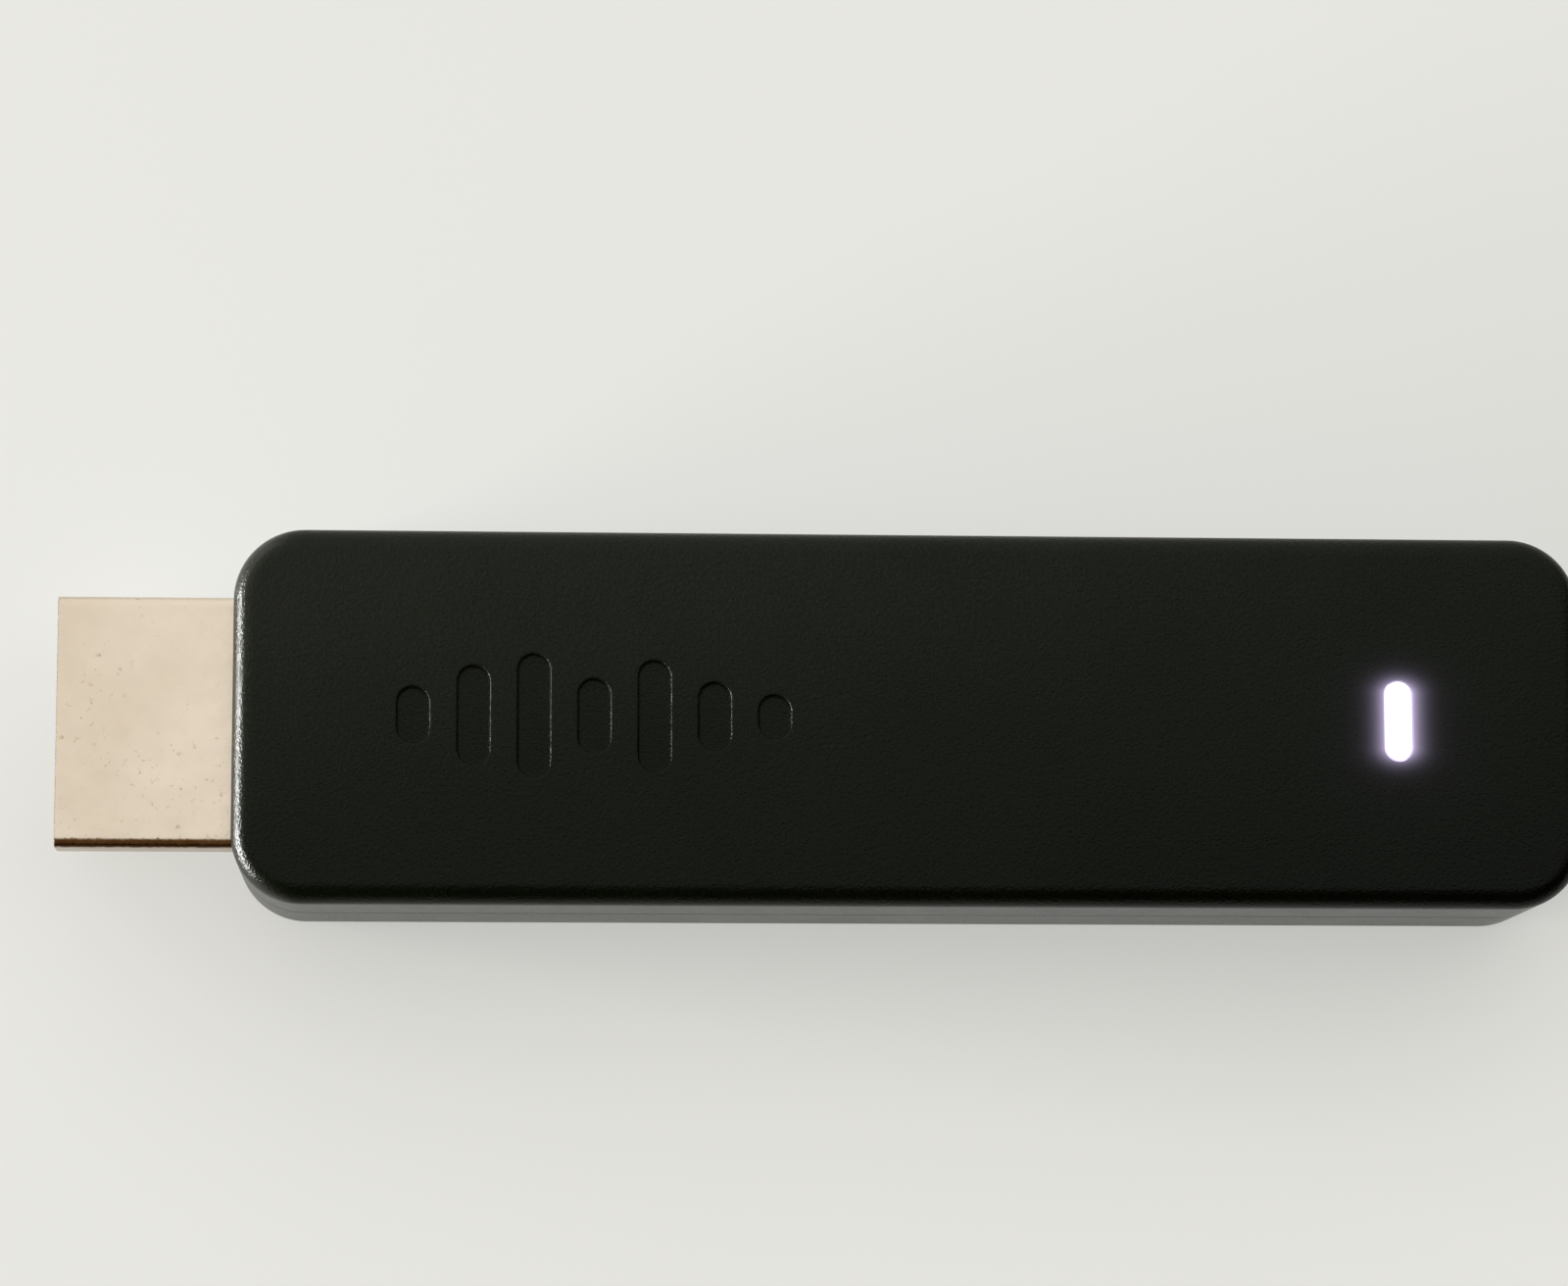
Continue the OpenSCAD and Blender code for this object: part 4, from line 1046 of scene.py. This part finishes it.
def flanged_pill(name, outline, rod_from, flange, face, axes, edge, crown, reach):
    """Rod with a flange and a rounded face: a profile carried round a pill.

    The face rises by crown * (1 - (1 - d)^2) over the share d of its reach, and sinks where crown is
    negative."""
    low, high = flange
    soft = FLANGE_EDGE_R
    out = FLANGE_OUT - soft
    brow = face - max(crown, 0)
    d = np.linspace(0, 1, 7)[1:]
    face_rows = np.stack([-edge - d * (reach - edge), brow + crown * (1 - (1 - d) ** 2)], axis=1)
    rod = sweep(outline, profile(
        (-soft, rod_from), (0, rod_from + soft), (0, low - 2 * HAIR), (0, low), (out, low),
        arc((out, low + soft), soft, -90, 0, 3), arc((out, high - soft), soft, 0, 90, 3), (0, high),
        (0, high + 2 * HAIR), (0, brow - edge - soft), arc((-edge, brow - edge), edge, 0, 90, 7),
        face_rows), axes)
    skin = Skin()
    skin.capped(rod)
    return new_object(name, skin.mesh(name))


pipe_outline = pill_outline(window_middle, WINDOW_LENGTH - PILL_CLEARANCE, WINDOW_WIDTH - PILL_CLEARANCE)
flange_top = window_high[2] - PIPE_FLANGE_DOWN
pipe_piece = flanged_pill(
    "acrylic_light_pipe", pipe_outline, window_low[2], (flange_top - FLANGE_H, flange_top),
    window_high[2] - HAIR, (0, 1, 2), PIPE_EDGE_R, PIPE_DOME, PIPE_REACH)
finished(pipe_piece, "stick", "light_pipe")

# %% The reset button
BUTTON_LENGTH, BUTTON_WIDTH = 4.2, 2.0
BUTTON_EDGE_R, BUTTON_DISH, BUTTON_REACH = 0.22, 0.09, 0.9

button_low, button_high = box_of("reset_button")
button_middle = ((button_low + button_high) / 2)[[0, 2]]
button_outline = pill_outline(
    button_middle, BUTTON_LENGTH - PILL_CLEARANCE, BUTTON_WIDTH - PILL_CLEARANCE, upright=False)
button_piece = flanged_pill(
    "moulded_reset_button", button_outline, button_low[1], (button_low[1] + HAIR, button_low[1] + FLANGE_H),
    button_high[1], (0, 2, 1), BUTTON_EDGE_R, -BUTTON_DISH, BUTTON_REACH)
finished(button_piece, "button", "reset_button")

# %% [markdown]
# Behind the button sits a small switch. Its snap dome is a disc of spring steel that gives way
# under the plunger; here it keeps the frame's shape. The plug's tongue, the socket's tongue and
# their springs are seen only through the two mouths. They keep the frame's shapes, and a modifier
# takes the razor edge off each, as no moulded or stamped edge is quite sharp.

snap_dome = new_object("snap_dome", plain_copy("reset_switch_dome"))
finished(snap_dome, "stick", "reset_switch_dome")
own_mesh(snap_dome)

# %% The tongues and the springs
TONGUE_EDGE_R, SPRING_EDGE_R = 0.06, 0.02
FLAT_BELOW = np.radians(1)
SOFTENED = {
    "plug_insulator": ("plug_tongue", TONGUE_EDGE_R), "socket_insulator": ("socket_tongue", TONGUE_EDGE_R),
    "plug_upper_contacts": ("plug_upper_springs", SPRING_EDGE_R),
    "plug_lower_contacts": ("plug_lower_springs", SPRING_EDGE_R),
    "socket_contacts": ("socket_springs", SPRING_EDGE_R),
}


def softened(node, name, width):
    """A copy of a frame piece with its flats merged and its edges rounded by a Bevel modifier."""
    mesh = plain_copy(node)
    work = bmesh.new()
    work.from_mesh(mesh)
    bmesh.ops.dissolve_limit(work, angle_limit=FLAT_BELOW, verts=work.verts, edges=work.edges)
    work.to_mesh(mesh)
    work.free()
    piece = new_object(name, mesh)
    edge = piece.modifiers.new("edge", "BEVEL")
    edge.width = width * MM
    edge.segments = 2
    edge.limit_method = "ANGLE"
    edge.angle_limit = SMOOTH_BELOW
    apply_modifiers(piece)
    return piece


for node, (name, width) in SOFTENED.items():
    finished(softened(node, name, width), "stick", node)

# %% [markdown]
# The table is a plain pale sheet, much larger than the view. In the photograph it is almost as
# bright beside the dark case as far from it. A sheet lit by this scene's sky alone can't be both
# that even and that bright next to a roof that stays dark, so the table gives out part of its
# light itself, and shadows on it stay soft and shallow.

# %% The table
TABLE_HALF = 1.5
TABLE_LIGHT = 0.405


def table_finish():
    """Pale matt sheet with a barely uneven tone, which gives out some light of its own."""
    finish = Finish("pale_table", (0.485, 0.485, 0.463), 0.6)
    finish.mottle(finish.noise(60, 3), (0.480, 0.480, 0.458), (0.490, 0.490, 0.468))
    finish.set(Specular_IOR_Level=0.2, Emission_Color=(0.98, 0.995, 0.97), Emission_Strength=TABLE_LIGHT)
    return finish.material


table_mesh = bpy.data.meshes.new("table")
corners = TABLE_HALF * np.array([[-1, -1, 0], [1, -1, 0], [1, 1, 0], [-1, 1, 0]])
table_mesh.from_pydata(corners.tolist(), [], [(0, 1, 2, 3)])
table_mesh.materials.append(table_finish())
table = new_object("table", table_mesh)
print("the table is", 2 * TABLE_HALF, "m wide")

# %% [markdown]
# The photograph's light can be read from its reflections. The roof and the plug look up and
# backwards into an even pale ceiling. The front edges look the other way, into a dim brown room,
# and stay dark. Only the edge at the plug's end carries a bright line, from a window low down on
# that side. So the room is a sky that is bright towards the back and dim towards the front, and
# one soft light stands for the window.

# %% Lights
PANE_AT = (-1.886, -0.23, 0.19)
PANE_SIZE = (1.48, 0.30)
PANE_POWER = 118.0
PANE_COLOUR = (1.0, 0.99, 0.97)
ROOM_DIM, ROOM_BRIGHT = (0.075, 0.040, 0.012), (1.04, 1.04, 1.03)
ROOM_TOWARDS = (0, 0.71, 0.71)
ROOM_TURN = (0.40, 0.76)


def soft_light(name, place, size, power, colour):
    """A rectangular soft light that faces the stick. Place and size are in metres."""
    data = bpy.data.lights.new(name, "AREA")
    data.shape = "RECTANGLE"
    data.size, data.size_y = size
    data.energy = power
    data.color = colour
    light = bpy.data.objects.new(name, data)
    light.location = place
    light.rotation_euler = (-Vector(place)).to_track_quat("-Z", "Y").to_euler()
    light.visible_camera = False
    bpy.context.scene.collection.objects.link(light)


def room(name, dim, bright, towards, turn):
    """World whose light rises from dim to bright with direction . towards, smoothly over the turn."""
    world = bpy.data.worlds.new(name)
    world.use_nodes = True
    nodes, links = world.node_tree.nodes, world.node_tree.links
    direction = nodes.new("ShaderNodeTexCoord").outputs["Generated"]
    height = nodes.new("ShaderNodeVectorMath")
    height.operation = "DOT_PRODUCT"
    height.inputs[1].default_value = Vector(towards).normalized()
    ramp = nodes.new("ShaderNodeValToRGB")
    ramp.color_ramp.interpolation = "EASE"
    for element, position, colour in zip(ramp.color_ramp.elements, turn, (dim, bright)):
        element.position = position
        element.color = (*colour, 1)
    links.new(direction, height.inputs[0])
    links.new(height.outputs["Value"], ramp.inputs["Fac"])
    links.new(ramp.outputs["Color"], nodes["Background"].inputs["Color"])
    return world


soft_light("window", PANE_AT, PANE_SIZE, PANE_POWER, PANE_COLOUR)
bpy.context.scene.world = room("room", ROOM_DIM, ROOM_BRIGHT, ROOM_TOWARDS, ROOM_TURN)
bpy.context.scene.view_settings.view_transform = "Standard"
print("the window's light has", PANE_POWER, "W")
